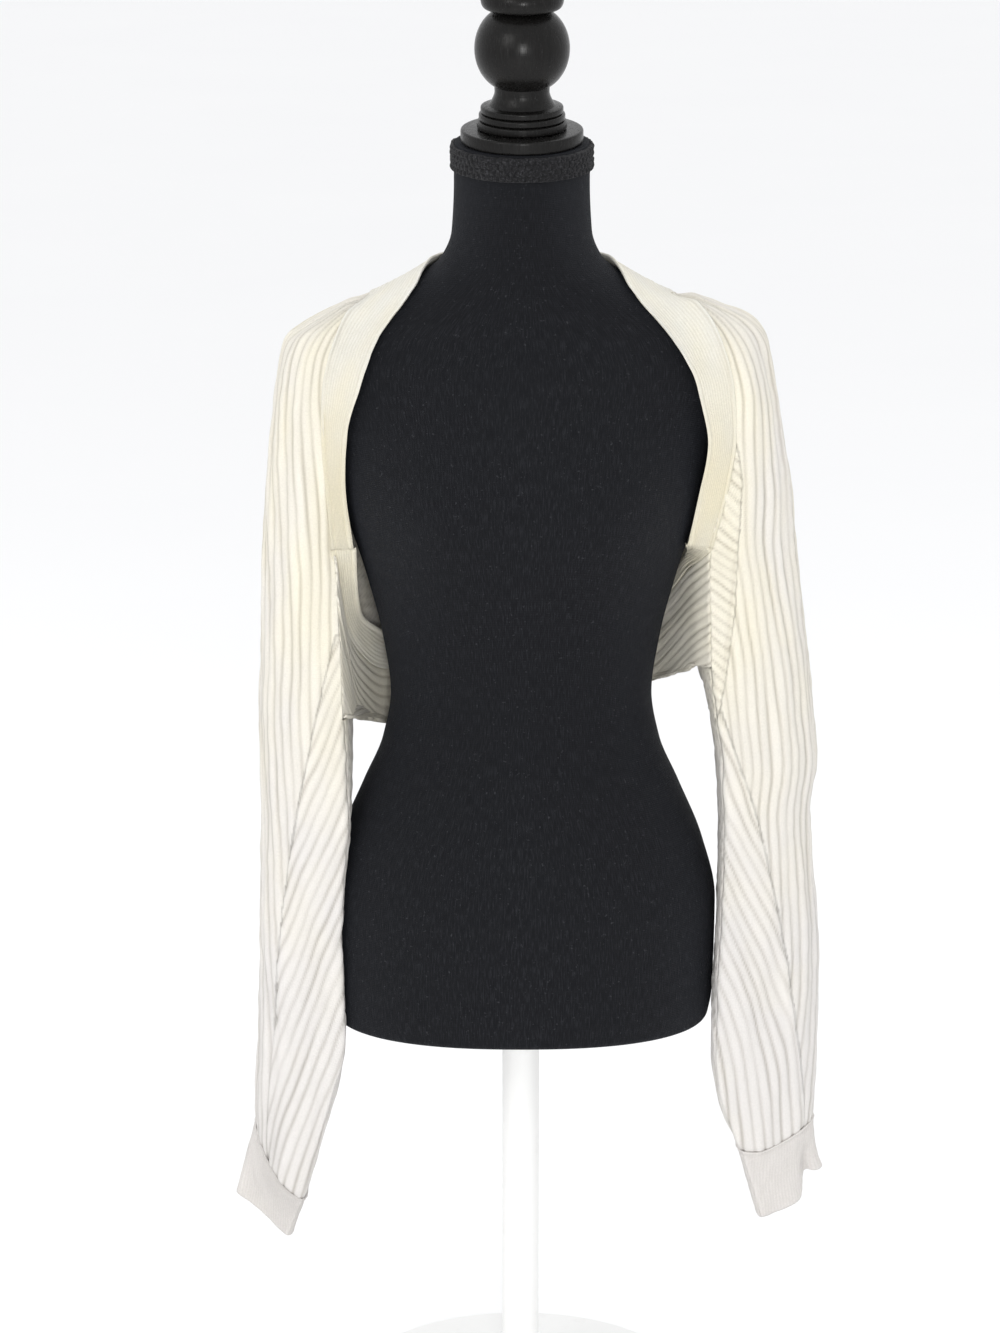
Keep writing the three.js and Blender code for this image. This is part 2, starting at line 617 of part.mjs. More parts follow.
// ---- dress form and stand -----------------------------------------------------------------------
// A place on the form's surface; turn 0 is at +X and goes round anticlockwise seen from above.
function formPlace(turn, height, swell = 0) {
  const section = formSection(height);
  const angle = turn * 2 * Math.PI;
  const cos = Math.cos(angle);
  const sin = Math.sin(angle);
  const round = 2 / section.square;
  const depth = (sin < 0 ? section.front : section.back) + swell;
  const x = (section.half + swell) * Math.sign(cos) * Math.abs(cos) ** round;
  const offset = depth * Math.sign(sin) * Math.abs(sin) ** round;
  const off = (Math.abs(x) - BUST.from_middle) / BUST.width;
  const up = (height - BUST.height) / BUST.spread;
  const bust = sin < 0 ? BUST.reach * Math.exp(-off * off - up * up) * Math.min(1, -BUST.start * sin) : 0;
  return [x, section.middle + offset - bust, height + section.lean * offset];
}

function formBody() {
  const top = FORM_SECTIONS[FORM_SECTIONS.length - 1].height;
  const vertices = [];
  for (let ring = 0; ring <= FORM_RINGS; ring += 1) {
    for (let side = 0; side < FORM_SIDES; side += 1) {
      vertices.push(lifted(formPlace(side / FORM_SIDES, mix(FORM_BOTTOM, top, ring / FORM_RINGS))));
    }
  }
  const triangles = [];
  for (let ring = 0; ring < FORM_RINGS; ring += 1) {
    for (let side = 0; side < FORM_SIDES; side += 1) {
      const a = ring * FORM_SIDES + side;
      const b = ring * FORM_SIDES + ((side + 1) % FORM_SIDES);
      triangles.push([a, b, b + FORM_SIDES], [a, b + FORM_SIDES, a + FORM_SIDES]);
    }
  }
  const topMiddle = FORM_SECTIONS[FORM_SECTIONS.length - 1].middle;
  const bottom = vertices.push(lifted([0, 0, FORM_BOTTOM])) - 1;
  const cap = vertices.push(lifted([0, topMiddle, top])) - 1;
  const lastRing = FORM_RINGS * FORM_SIDES;
  for (let side = 0; side < FORM_SIDES; side += 1) {
    const next = (side + 1) % FORM_SIDES;
    triangles.push([bottom, next, side], [cap, lastRing + side, lastRing + next]);
  }
  return solid(vertices, triangles);
}

// The braid round the top of the neck: a low wall, a little proud of it.
function neckTrim() {
  const top = FORM_SECTIONS[FORM_SECTIONS.length - 1].height - TRIM_BELOW;
  const outline = [
    { swell: SEAT_GAP, drop: TRIM_HEIGHT },
    { swell: TRIM_WALL, drop: TRIM_HEIGHT - TRIM_EDGE },
    { swell: TRIM_WALL, drop: TRIM_EDGE },
    { swell: SEAT_GAP, drop: 0 },
  ];
  const vertices = [];
  outline.forEach(({ swell, drop }) => {
    for (let side = 0; side < FORM_SIDES; side += 1) {
      vertices.push(lifted(formPlace(side / FORM_SIDES, top - drop, swell)));
    }
  });
  const triangles = [];
  for (let ring = 0; ring < outline.length; ring += 1) {
    for (let side = 0; side < FORM_SIDES; side += 1) {
      const above = ((ring + 1) % outline.length) * FORM_SIDES;
      const next = (side + 1) % FORM_SIDES;
      const a = ring * FORM_SIDES + side;
      const b = ring * FORM_SIDES + next;
      triangles.push([a, b, above + next], [a, above + next, above + side]);
    }
  }
  return solid(vertices, triangles);
}

// A turned piece from its profile of [radius, height], on +Z.
function turned(profile, sides) {
  const geometry = new THREE.LatheGeometry(profile.map(([r, h]) => new THREE.Vector2(r, h)), sides);
  geometry.rotateX(Math.PI / 2);
  return geometry;
}

const CAP_EDGE = 2;
const CAP_PROFILE = [
  [0, 0],
  [CAP_RADIUS - CAP_EDGE, 0],
  [CAP_RADIUS, CAP_EDGE],
  [CAP_RADIUS, CAP_THICKNESS - CAP_EDGE],
  [CAP_RADIUS - CAP_EDGE, CAP_THICKNESS],
  [0, CAP_THICKNESS],
];

// Finial, upwards from the cap: three stepped rings, a waist, a ball, a bead and a low dome.
const FINIAL = {
  rings: [{ radius: 37, height: 7 }, { radius: 35.5, height: 6 }, { radius: 34, height: 6 }],
  ring_edge: 1.5,
  ring_gap: 0.01,
  waist: 22.5,
  waist_height: 30,
  waist_flare: 4,
  ball: 39,
  ball_bottom: 30,
  ball_height: 72,
  ball_from: -0.33,            // the ball's first and last angle, in half turns
  ball_to: 0.34,
  ball_round: 0.8,             // how square the ball's outline is: 1 is an ellipse
  bead: 34,
  bead_height: 15,
  bead_bulge: 4,
  bead_turn: 0.42,             // the bead's last angle, in half turns
  bead_gap: 2,
  dome: 8,
  dome_shoulder: [20.4, 5.6],  // radius and rise of the dome's shoulder
};

function finialProfile() {
  const { ring_edge: edge, waist_flare: flare, bead_bulge: bulge, ball_height: tall } = FINIAL;
  const profile = [[0, 0]];
  let height = 0;
  FINIAL.rings.forEach((ring) => {
    profile.push([ring.radius - edge, height], [ring.radius, height + edge]);
    profile.push([ring.radius, height + ring.height - edge], [ring.radius - edge, height + ring.height]);
    height += ring.height + FINIAL.ring_gap;
  });
  profile.push([FINIAL.waist + flare, height + flare], [FINIAL.waist, FINIAL.waist_height]);
  const ballSteps = 10;
  const middle = FINIAL.ball_bottom + tall / 2;
  for (let i = 0; i <= ballSteps; i += 1) {
    const angle = mix(FINIAL.ball_from, FINIAL.ball_to, i / ballSteps) * Math.PI;
    const radius = FINIAL.ball * Math.cos(angle) ** FINIAL.ball_round;
    profile.push([radius, middle + (tall / 2) * Math.sin(angle)]);
  }
  const beadBottom = middle + (tall / 2) * Math.sin(FINIAL.ball_to * Math.PI) + FINIAL.bead_gap;
  const beadSteps = 4;
  for (let i = 0; i <= beadSteps; i += 1) {
    const angle = mix(-FINIAL.bead_turn, FINIAL.bead_turn, i / beadSteps) * Math.PI;
    const rise = (FINIAL.bead_height / 2) * (1 + Math.sin(angle));
    profile.push([FINIAL.bead + bulge * (Math.cos(angle) - 1), beadBottom + rise]);
  }
  const top = beadBottom + FINIAL.bead_height;
  const [shoulder, rise] = FINIAL.dome_shoulder;
  profile.push([shoulder, top + rise], [0, top + FINIAL.dome]);
  return profile;
}

const FOOT = { radius: 37, height: 5, collar: 20, collar_height: 13, top: 14.5 };
const BASE_EDGE = 1.5;
const BASE_SIDE = 8.4;        // the base's upright side, below its bevel
const BASE_BEVEL = 6;
const BASE_PROFILE = [
  [0, 0],
  [BASE_RADIUS - BASE_EDGE, 0],
  [BASE_RADIUS, BASE_EDGE],
  [BASE_RADIUS, BASE_SIDE],
  [BASE_RADIUS - BASE_BEVEL, BASE_THICKNESS],
  [0, BASE_THICKNESS],
];

// The pole, with a foot on the base and a flange under the form.
function poleProfile(length) {
  return [
    [0, 0],
    [FOOT.radius, 0],
    [FOOT.radius, FOOT.height],
    [FOOT.collar, FOOT.collar_height],
    [POLE_RADIUS, FOOT.top],
    [POLE_RADIUS, length - FLANGE_THICKNESS * 2],
    [FLANGE_RADIUS, length - FLANGE_THICKNESS],
    [FLANGE_RADIUS, length],
    [0, length],
  ];
}

// ---- the object ---------------------------------------------------------------------------------
const finish = (colour, roughness) => new THREE.MeshStandardMaterial({ color: colour, roughness, metalness: 0 });

function piece(name, geometry, material) {
  const mesh = new THREE.Mesh(geometry, material);
  mesh.name = name;
  return mesh;
}

const shrug = new THREE.Group();
const knit = () => finish(COLOURS.knit, 0.9);
const band = () => finish(COLOURS.band, 0.9);
shrug.add(
  piece('sleeve_right', sleeveWall(SLEEVE_RIGHT, RIGHT, FIRST_OPEN_RIGHT, KNIT_WALL, SLEEVE_ROWS), knit()),
  piece('sleeve_left', sleeveWall(SLEEVE_LEFT, LEFT, FIRST_OPEN_LEFT, KNIT_WALL, SLEEVE_ROWS), knit()),
  piece('back_panel', backPanel(), knit()),
  piece('neck_band', bandWall(NECK_BAND_RIGHT, NECK_BAND_LEFT), band()),
  piece('hem_band', bandWall(HEM_BAND_RIGHT, HEM_BAND_LEFT), band()),
  piece('cuff_right', sleeveWall(CUFF_RIGHT, RIGHT, CUFF_RIGHT.length, BAND_WALL, SLEEVE_ROWS), band()),
  piece('cuff_left', sleeveWall(CUFF_LEFT, LEFT, CUFF_LEFT.length, BAND_WALL, SLEEVE_ROWS), band()),
);

const form = new THREE.Group();
const base = piece('stand_base', turned(BASE_PROFILE, FORM_SIDES), finish(COLOURS.paint, 0.5));
const poleLength = LEVEL_LIFT + FORM_BOTTOM - BASE_THICKNESS - 2 * SEAT_GAP;
const poleGeometry = turned(poleProfile(poleLength), TURNED_SIDES);
const pole = piece('stand_pole', poleGeometry, finish(COLOURS.paint, 0.5));
pole.position.z = BASE_THICKNESS + SEAT_GAP;
form.add(
  base,
  pole,
  piece('form_body', formBody(), finish(COLOURS.jersey, 0.95)),
  piece('neck_trim', neckTrim(), finish(COLOURS.braid, 0.95)),
);

const capSection = FORM_SECTIONS[FORM_SECTIONS.length - 1];
const cap = new THREE.Group();
cap.position.set(0, capSection.middle, LEVEL_LIFT + capSection.height + SEAT_GAP);
cap.rotation.x = THREE.MathUtils.degToRad(CAP_LEAN);
const finial = piece('finial', turned(finialProfile(), TURNED_SIDES), finish(COLOURS.wood, 0.4));
finial.position.z = CAP_THICKNESS + SEAT_GAP;
const disc = piece('cap_disc', turned(CAP_PROFILE, FORM_SIDES), finish(COLOURS.wood, 0.4));
cap.add(disc, finial);
form.add(cap);

const object = new THREE.Group();
object.add(shrug, form);

export default object;
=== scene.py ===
"""Knitted rib shrug on a limbless dress form with a turned finial and a pole stand.

Tables are in millimetres; heights are over the level line, which is LEVEL_LIFT above the floor.
The front faces -Y, and the wearer's right side is at -X. Meshes are in metres.
"""
import math

import bmesh
import bpy
import numpy as np
from mathutils import Matrix, Vector


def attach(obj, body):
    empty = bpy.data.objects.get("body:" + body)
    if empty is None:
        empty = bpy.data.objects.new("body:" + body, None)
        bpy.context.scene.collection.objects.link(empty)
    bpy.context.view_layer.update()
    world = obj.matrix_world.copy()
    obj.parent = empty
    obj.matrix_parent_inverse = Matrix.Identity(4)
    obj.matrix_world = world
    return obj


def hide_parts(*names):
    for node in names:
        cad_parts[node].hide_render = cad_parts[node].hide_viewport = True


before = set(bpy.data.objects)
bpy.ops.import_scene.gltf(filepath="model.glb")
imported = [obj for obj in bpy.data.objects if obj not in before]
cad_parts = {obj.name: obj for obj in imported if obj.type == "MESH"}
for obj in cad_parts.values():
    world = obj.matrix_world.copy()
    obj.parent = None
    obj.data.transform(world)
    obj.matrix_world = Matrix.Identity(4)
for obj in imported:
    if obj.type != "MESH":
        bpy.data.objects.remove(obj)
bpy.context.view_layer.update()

MM = 0.001
LEVEL_LIFT = 364
RIGHT = -1
LEFT = 1
KNIT_WALL = 2.2
KNIT_THICKNESS = 1.9
BAND_WALL = 3.0
BAND_THICKNESS = 2.4
CLEARANCE = 2.0
LEAST_GAP = 0.7
SEAM_OVERLAP = 1.8
JOIN_WITHIN = 0.004
SLEEVE_SQUARE = 2.5
GRIP = {"low": 585, "high": 612, "inner": 112, "outer": 145}
BACK_TOP = 616
BACK_ROUND = 0.8
FOLD_DROP = 8
FOLD_TUCK = 4.8
BUST = {"height": 448, "spread": 62, "reach": 11, "from_middle": 68, "width": 46, "start": 4}

# Cells of each knit piece's mesh: a sleeve or cuff has columns ahead of its outer edge, behind it
# and on the form's side.
SLEEVE_COLUMNS = (75, 65, 20)
SLEEVE_ROWS = 298
CUFF_COLUMNS = (96, 70, 30)
CUFF_ROWS = 42
BACK_COLUMNS = 96
BACK_ROWS = 370
BAND_COLUMNS = 56

# height, half width, depth ahead, depth behind, middle, squareness, lean
FORM_SECTIONS = (
    (-9, 161, 109, 105, 0, 2.3, 0),
    (14, 165, 111, 108, 0, 2.3, 0),
    (96, 167, 112, 112, 2, 2.3, 0),
    (145, 156, 106, 108, 3, 2.3, 0),
    (196, 135, 96, 94, 4, 2.2, 0),
    (236, 118, 87, 82, 4, 2.15, 0),
    (277, 111, 82, 77, 4, 2.1, 0),
    (324, 117, 86, 80, 3, 2.1, 0),
    (381, 131, 97, 87, 1, 2.15, 0),
    (440, 149, 106, 92, 0, 2.2, 0),
    (500, 162, 97, 92, 2, 2.2, 0),
    (540, 174, 84, 86, 4, 2.2, 0),
    (565, 181, 73, 77, 5, 2.1, 0),
    (582, 176, 64, 68, 5, 2, 0),
    (597, 156, 60, 62, 4, 2, 0),
    (614, 124, 58, 60, 2, 2, 0),
    (632, 90, 57, 58, -1, 2, 0),
    (649, 67, 55, 56, -5, 2, 0.02),
    (672, 58, 52, 53, -9, 2, 0.05),
    (715, 56, 52, 52, -13, 2, 0.1),
    (746, 56, 52, 52, -16, 2, 0.123),
)
# height, out, depth
BACK_SEAM = (
    (240, 147, 59),
    (300, 150, 62),
    (380, 153, 63),
    (485, 157, 58),
    (525, 157, 54),
    (560, 154, 46),
    (583, 148, 36),
    (597, 140, 28),
    (609, 130, 20),
    (618, 121, 12),
)
# height, out, depth
FRONT_SEAM_RIGHT = (
    (394, 155, -46),
    (414, 157, -46),
    (469, 161.5, -47),
    (510, 164, -49),
    (544, 163, -52),
    (573, 158, -50),
    (601, 147, -38),
    (615, 135, -20),
    (620, 126, -6),
)
# height, out, depth
FRONT_SEAM_LEFT = (
    (394, 156, -46),
    (416, 158, -46),
    (463, 170, -47),
    (508, 176, -50),
    (546, 174, -53),
    (574, 168, -51),
    (604, 154, -38),
    (617, 139, -20),
    (622, 127, -6),
)
# front, edge, back, tuck; a bare height stands for a place on the seam by the form
SLEEVE_RIGHT = (
    ((190, -42, -161), (229, -14, -104), (196, 12, -149), 6),
    ((178, -50, -120), (229, -14, -68), (184, 14, -108), 6),
    ((161, -57, -66), (226, -14, -24), (170, 18, -54), 5),
    ((150, -62, -20), (225, -13, 8), (166, 22, -8), 4),
    ((151, -65, 50), (224, -12, 62), (168, 26, 52), 4),
    ((150, -66, 115), (222, -10, 120), (166, 30, 115), 4),
    ((146, -64, 170), (221, -8, 172), (160, 36, 170), 4),
    ((147, -60, 218), (222, -6, 216), (151, 50, 217), 4),
    ((150, -57, 267), (222, -4, 264), 264, 4),
    ((151, -54, 310), (220, -3, 305), 306, 0),
    ((153, -50, 352), (219, -2, 346), 347, 0),
    (394, (218, -1, 385), 386, 0),
    (441, (215, 0, 431), 430, 0),
    (502, (211, 0, 484), 480, 0),
    (541, (206, 0, 524), 520, 0),
    (571, (202, 1, 556), 550, 0),
    (594, (196, 2, 580), 574, 0),
    (607, (180, 3, 592), 592, 0),
    (616, (156, 4, 605), 606, 0),
    (620, (134, 4, 616), 615, 0),
    (620, (126, 3, 620), 615, 0),
)
# front, edge, back, tuck, as on the right
SLEEVE_LEFT = (
    ((192, -40, -130), (253, -10, -102), (196, 14, -121), 6),
    ((176, -46, -90), (255, -10, -68), (182, 18, -84), 6),
    ((168, -54, -38), (256, -10, -26), (176, 24, -34), 6),
    ((167, -60, 20), (256, -10, 24), (176, 28, 20), 5),
    ((169, -63, 75), (254, -9, 78), (176, 32, 75), 4),
    ((171, -63, 130), (249, -8, 130), (176, 38, 130), 4),
    ((171, -61, 180), (246, -7, 180), (175, 46, 180), 4),
    ((170, -59, 222), (251, -6, 222), (172, 52, 222), 4),
    ((164, -58, 268), (247, -5, 266), (163, 58, 266), 3),
    ((159, -57, 310), (243, -4, 306), 306, 3),
    ((158, -53, 350), (238, -3, 344), 345, 0),
    ((157, -49, 386), (234, -2, 380), 381, 0),
    (416, (230, -1, 415), 412, 0),
    (462, (226, 0, 456), 452, 0),
    (508, (218, 0, 501), 494, 0),
    (545, (213, 0, 532), 526, 0),
    (573, (208, 0, 560), 553, 0),
    (597, (203, 1, 583), 576, 0),
    (611, (190, 3, 598), 594, 0),
    (618, (166, 4, 608), 607, 0),
    (622, (138, 4, 618), 615, 0),
    (622, (126, 3, 620), 615, 0),
)
# across, fold, hem
TURN_RIGHT = (
    (0, (0, 86, 243), (0, 88, 277)),
    (0.3, (62, 78, 240), (62, 78, 278)),
    (0.55, (116, 46, 241), (118, 46, 285)),
    (0.7, (132, 16, 249), (138, 16, 307)),
    (0.8, (140, -10, 256), (148, -8, 334)),
    (0.9, (142, -32, 262), (152, -28, 368)),
    (1, (150, -56, 268), (155.5, -46, 407)),
)
# across, fold, hem
TURN_LEFT = (
    (0, (0, 86, 243), (0, 88, 277)),
    (0.3, (60, 80, 256), (60, 76, 298)),
    (0.55, (113, 46, 277), (111, 45, 338)),
    (0.7, (132, 16, 290), (131, 17, 366)),
    (0.8, (143, -10, 299), (141, -8, 386)),
    (0.9, (148, -33, 307), (148, -28, 397)),
    (1, (159, -56, 311), (157, -46, 409)),
)
# height, depth
BACK_MIDDLE = (
    (240, 97),
    (330, 99),
    (440, 100),
    (520, 96),
    (590, 76),
    (618, 64),
)
# seam, rim, how closely the band grips the form: behind the neck, the same on both sides
NECK_BAND_BEHIND = (
    ((122, 13, 616), (69, 18, 648), 1),
    ((110, 28, 615), (63, 29, 649), 1),
    ((88, 43, 615), (56, 38, 650), 1),
    ((46, 60, 615), (32, 50, 652), 1),
    ((0, 64, 615), (0, 54, 653), 1),
)
# the same, from the underarm up
NECK_BAND_RIGHT = (
    (409.5, (140, -44, 410), 0),
    (469, (145.5, -52, 468), 0),
    (510, (143, -58, 510), 0),
    (544, (135, -64, 548), 0.3),
    (573, (125, -62, 587), 0.7),
    (601, (109, -52, 616), 1),
    (615, (92, -36, 636), 1),
    (620, (78, -10, 644), 1),
) + NECK_BAND_BEHIND
# the same, from the underarm up
NECK_BAND_LEFT = (
    (411, (138, -44, 412.5), 0),
    (463, (146, -52, 457), 0),
    (508, (153, -58, 502), 0),
    (546, (148, -62, 549), 0.3),
    (574, (132, -62, 590), 0.6),
    (604, (112, -52, 617), 0.8),
    (617, (93, -36, 637), 1),
    (622, (79, -10, 645), 1),
) + NECK_BAND_BEHIND
# seam, rim, how closely the band grips the form
HEM_BAND_RIGHT = (
    ((157, -47, 409.5), (138, -43, 411.5), 0),
    ((153, -30, 370), (138, -28, 377), 0),
    ((148, -8, 336), (136, -4, 347), 0),
    ((138, 16, 309), (125, 22, 329), 0),
    ((118, 46, 287), (109, 48, 316), 0),
    ((62, 78, 280), (60, 78, 310), 0),
    ((0, 88, 279), (0, 89, 309), 0),
)
# seam, rim, how closely the band grips the form
HEM_BAND_LEFT = (
    ((157, -47, 411), (137, -43, 414), 0),
    ((149, -28, 398), (137, -22, 411), 0),
    ((141, -8, 387), (137, -2, 404), 0),
    ((131, 17, 366), (129, 22, 393), 0),
    ((111, 45, 338), (108, 50, 367), 0),
    ((60, 76, 300), (60, 78, 330), 0),
    ((0, 88, 279), (0, 89, 309), 0),
)
# front, edge, back, tuck
CUFF_RIGHT = (
    ((190, -42, -160.6), (229, -14, -103.6), (196, 12, -148.6), 6),
    ((196, -38, -180), (238, -14, -136), (201, 8, -169), 6),
    ((203, -34, -203), (246, -14, -168), (207, 6, -193), 5),
)
# front, edge, back, tuck
CUFF_LEFT = (
    ((192, -40, -129.5), (253, -10, -101.5), (196, 14, -120.5), 6),
    ((201, -37, -157), (254, -10, -131), (205, 12, -149), 6),
    ((210, -34, -187), (259, -10, -163), (214, 12, -179), 5),
)

# ---- rib layout ---------------------------------------------------------------------------------
RIB_PITCH = 8.6
FINE_PITCH = 2.7
BEYOND = 900.0  # a distance past every edge, where a line does not run

# Where the sleeve's two fields of ribs meet, and where the underarm gusset ends: height, out.
SPINE_RIGHT = (
    (332, 156), (269, 172), (201, 186), (146, 196), (106, 202), (54, 207), (-20, 212), (-110, 219),
)
SPINE_LEFT = (
    (280, 163), (269, 169), (223, 185), (182, 199), (103, 217), (44, 227.8), (-32, 239), (-90, 245),
)
GUSSET_LEFT = ((500, 176), (486, 180), (465, 183), (419, 181), (357, 178.5), (303, 171.7), (262, 164))

# The curve of each cuff's seam: share of the way from the outer edge to the front edge, drop.
SEAM_DIP_RIGHT = ((0, 0), (0.2, -14), (0.45, -20), (0.75, -9), (1, 0))
SEAM_DIP_LEFT = ((0, 0), (0.3, -3), (0.55, -4), (0.8, 6), (1, 14))

# Soft folds along the ribs: distance round from the outer edge (front is positive), heights that
# it runs between, depth (troughs are negative) and width.
FOLDS_RIGHT = (
    (20, 560, 60, -1.9, 3.6), (32, 470, 150, -1.6, 3.2), (45, 600, 380, -1.8, 5.0),
    (60, 560, 330, 1.6, 6.5), (11, 330, -90, -1.5, 3.0), (52, 330, 190, 1.4, 6.0),
    (27, 150, -80, 1.7, 3.6), (38, 40, -120, -1.8, 3.2), (-22, 560, 100, -2.0, 4.5),
    (-48, 600, 250, -2.2, 5.0), (-35, 260, -80, 1.8, 5.0), (-60, 200, -100, -1.8, 4.0),
)
FOLDS_LEFT = (
    (34, 607, 345, -3.4, 4.2), (24, 600, 420, 1.6, 5.0), (14, 560, 60, -1.5, 3.0),
    (49, 590, 420, -1.7, 5.5), (62, 560, 300, 1.5, 6.5), (44, 380, 180, -1.6, 4.0),
    (26, 330, 40, -1.3, 3.4), (9, 140, -90, -1.6, 3.0), (-16, 420, 130, -2.6, 5.0),
    (-30, 300, 100, 2.6, 8.0), (-46, 600, 260, -2.2, 5.0), (-62, 220, -80, -1.9, 4.5),
)

# Creases at a place on the front: start and end as (out, height), depth and width.
CREASES_RIGHT = (
    ((160, 470), (157, 395), -2.2, 3.0), ((186, 520), (172, 455), -1.6, 4.0),
    ((176, 420), (163, 330), -1.4, 5.0), ((204, 170), (196, 60), -1.2, 5.0),
    ((222, 60), (214, -30), -1.8, 4.0), ((206, -20), (214, -110), 1.6, 4.5),
    ((150, 60), (160, -40), 1.2, 6.0),
)
CREASES_LEFT = (
    ((166, 450), (176, 400), -1.8, 3.2), ((172, 500), (184, 440), -1.4, 4.5),
    ((180, 410), (171, 300), -2.2, 2.8), ((196, 250), (206, 160), -1.3, 4.5),
    ((170, 180), (190, 90), -1.0, 5.0), ((214, 60), (232, -30), -1.3, 4.0),
    ((178, 20), (196, -90), 1.3, 6.0),
)

# Soft sags across the back, and pulls towards the armholes: distance from the hem, depth, width,
# middle (positive to the left) and reach to each side.
BACK_SAGS = (
    (150, -2.2, 9, -20, 120), (205, 2.0, 12, 30, 110), (262, -2.4, 10, 5, 130),
    (318, 1.8, 13, -30, 90), (372, -1.8, 9, 20, 100), (120, 1.6, 8, 60, 60),
)


# ---- curves -------------------------------------------------------------------------------------
def smooth_curve(places, values):
    """A smooth curve through (places, values) that never overshoots between two of them."""
    places, values = np.array(places, float), np.array(values, float)
    slopes = np.diff(values) / np.diff(places)
    before = np.concatenate((slopes[:1], slopes))
    after = np.concatenate((slopes, slopes[-1:]))
    agree = before * after > 0
    tangents = np.where(agree, 2 * before * after / np.where(agree, before + after, 1.0), 0.0)

    def at(place):
        inside = np.clip(place, places[0], places[-1])
        i = np.clip(np.searchsorted(places, inside) - 1, 0, len(slopes) - 1)
        step = places[i + 1] - places[i]
        t = (inside - places[i]) / step
        bend = step * t * (1 - t)
        rise = (values[i + 1] - values[i]) * t * t * (3 - 2 * t)
        return values[i] + rise + bend * ((1 - t) * tangents[i] - t * tangents[i + 1])

    return at


def columns(rows):
    """Curves for the columns of a table after its first one, against that one."""
    places = [row[0] for row in rows]
    return [smooth_curve(places, [row[i] for row in rows]) for i in range(1, len(rows[0]))]


def place_curve(places, values):
    axes = [smooth_curve(places, [value[axis] for value in values]) for axis in range(3)]
    return lambda at: np.stack([axis(at) for axis in axes], axis=-1)


def smoothstep(value, low, high):
    t = np.clip((value - low) / (high - low), 0, 1)
    return t * t * (3 - 2 * t)


def hump(off, width):
    """A rounded hump: 1 where `off` is 0, and next to nothing beyond twice its width."""
    return np.exp(-((off / width) ** 2))


def unit(vectors):
    return vectors / np.maximum(np.linalg.norm(vectors, axis=-1, keepdims=True), 1e-9)


def run_along(places, axis=0):
    """Distance from the first place to each one, along this axis of a line or grid of places."""
    steps = np.linalg.norm(np.diff(places, axis=axis), axis=-1)
    start = np.zeros_like(np.take(steps, [0], axis=axis))
    return np.concatenate((start, np.cumsum(steps, axis=axis)), axis=axis)


def wander(u, v, seed, long, wide):
    """Smooth uneven values, mostly from -1 to 1, `long` along v and `wide` along u."""
    rng = np.random.default_rng(seed)
    total = np.zeros(np.broadcast(u, v).shape)
    for strength in (1.0, 0.7, 0.5, 0.35):
        a, b = rng.uniform(0.5, 1.4, 2) / strength
        p, q = rng.uniform(0, 2 * math.pi, 2)
        lean = rng.uniform(-0.4, 0.4)
        sideways = np.sin(2 * math.pi * a * (u / wide + lean * v / long) + p)
        total += strength * sideways * np.sin(2 * math.pi * b * v / long + q)
    return total / 1.6


# ---- the dress form's surface -------------------------------------------------------------------
FORM = dict(zip(("half", "front", "back", "middle", "square", "lean"), columns(FORM_SECTIONS)))


def form_level(place):
    """How far out a place is on the form's own scale: 1 is on its surface."""
    x, y, height = place[..., 0], place[..., 1], place[..., 2]
    offset = y - FORM["middle"](height)
    depth = np.where(offset < 0, FORM["front"](height), FORM["back"](height))
    square = FORM["square"](height)
    total = np.abs(x / FORM["half"](height)) ** square + np.abs(offset / depth) ** square
    return total ** (1 / square)


def form_distance(place):
    probe = 0.5
    level = form_level(place)
    steps = [form_level(place + probe * np.eye(3)[axis]) - level for axis in range(3)]
    gradient = np.stack(steps, axis=-1) / probe
    steep = np.linalg.norm(gradient, axis=-1)
    return (level - 1) / steep, gradient / steep[..., None]


def settle(place, gap, grip):
    """Moves places off the form, to `gap` from it; grip also draws them in from further away."""
    for _ in range(4):
        distance, outward = form_distance(place)
        short = gap - distance
        place = place + outward * np.where(short > 0, short, short * grip)[..., None]
    return place


# ---- cloth meshes -------------------------------------------------------------------------------
def mesh_object(name, bm):
    """Puts a finished mesh into the scene, with smooth shading."""
    mesh = bpy.data.meshes.new(name)
    bm.to_mesh(mesh)
    bm.free()
    mesh.polygons.foreach_set("use_smooth", [True] * len(mesh.polygons))
    obj = bpy.data.objects.new(name, mesh)
    bpy.context.scene.collection.objects.link(obj)
    return obj


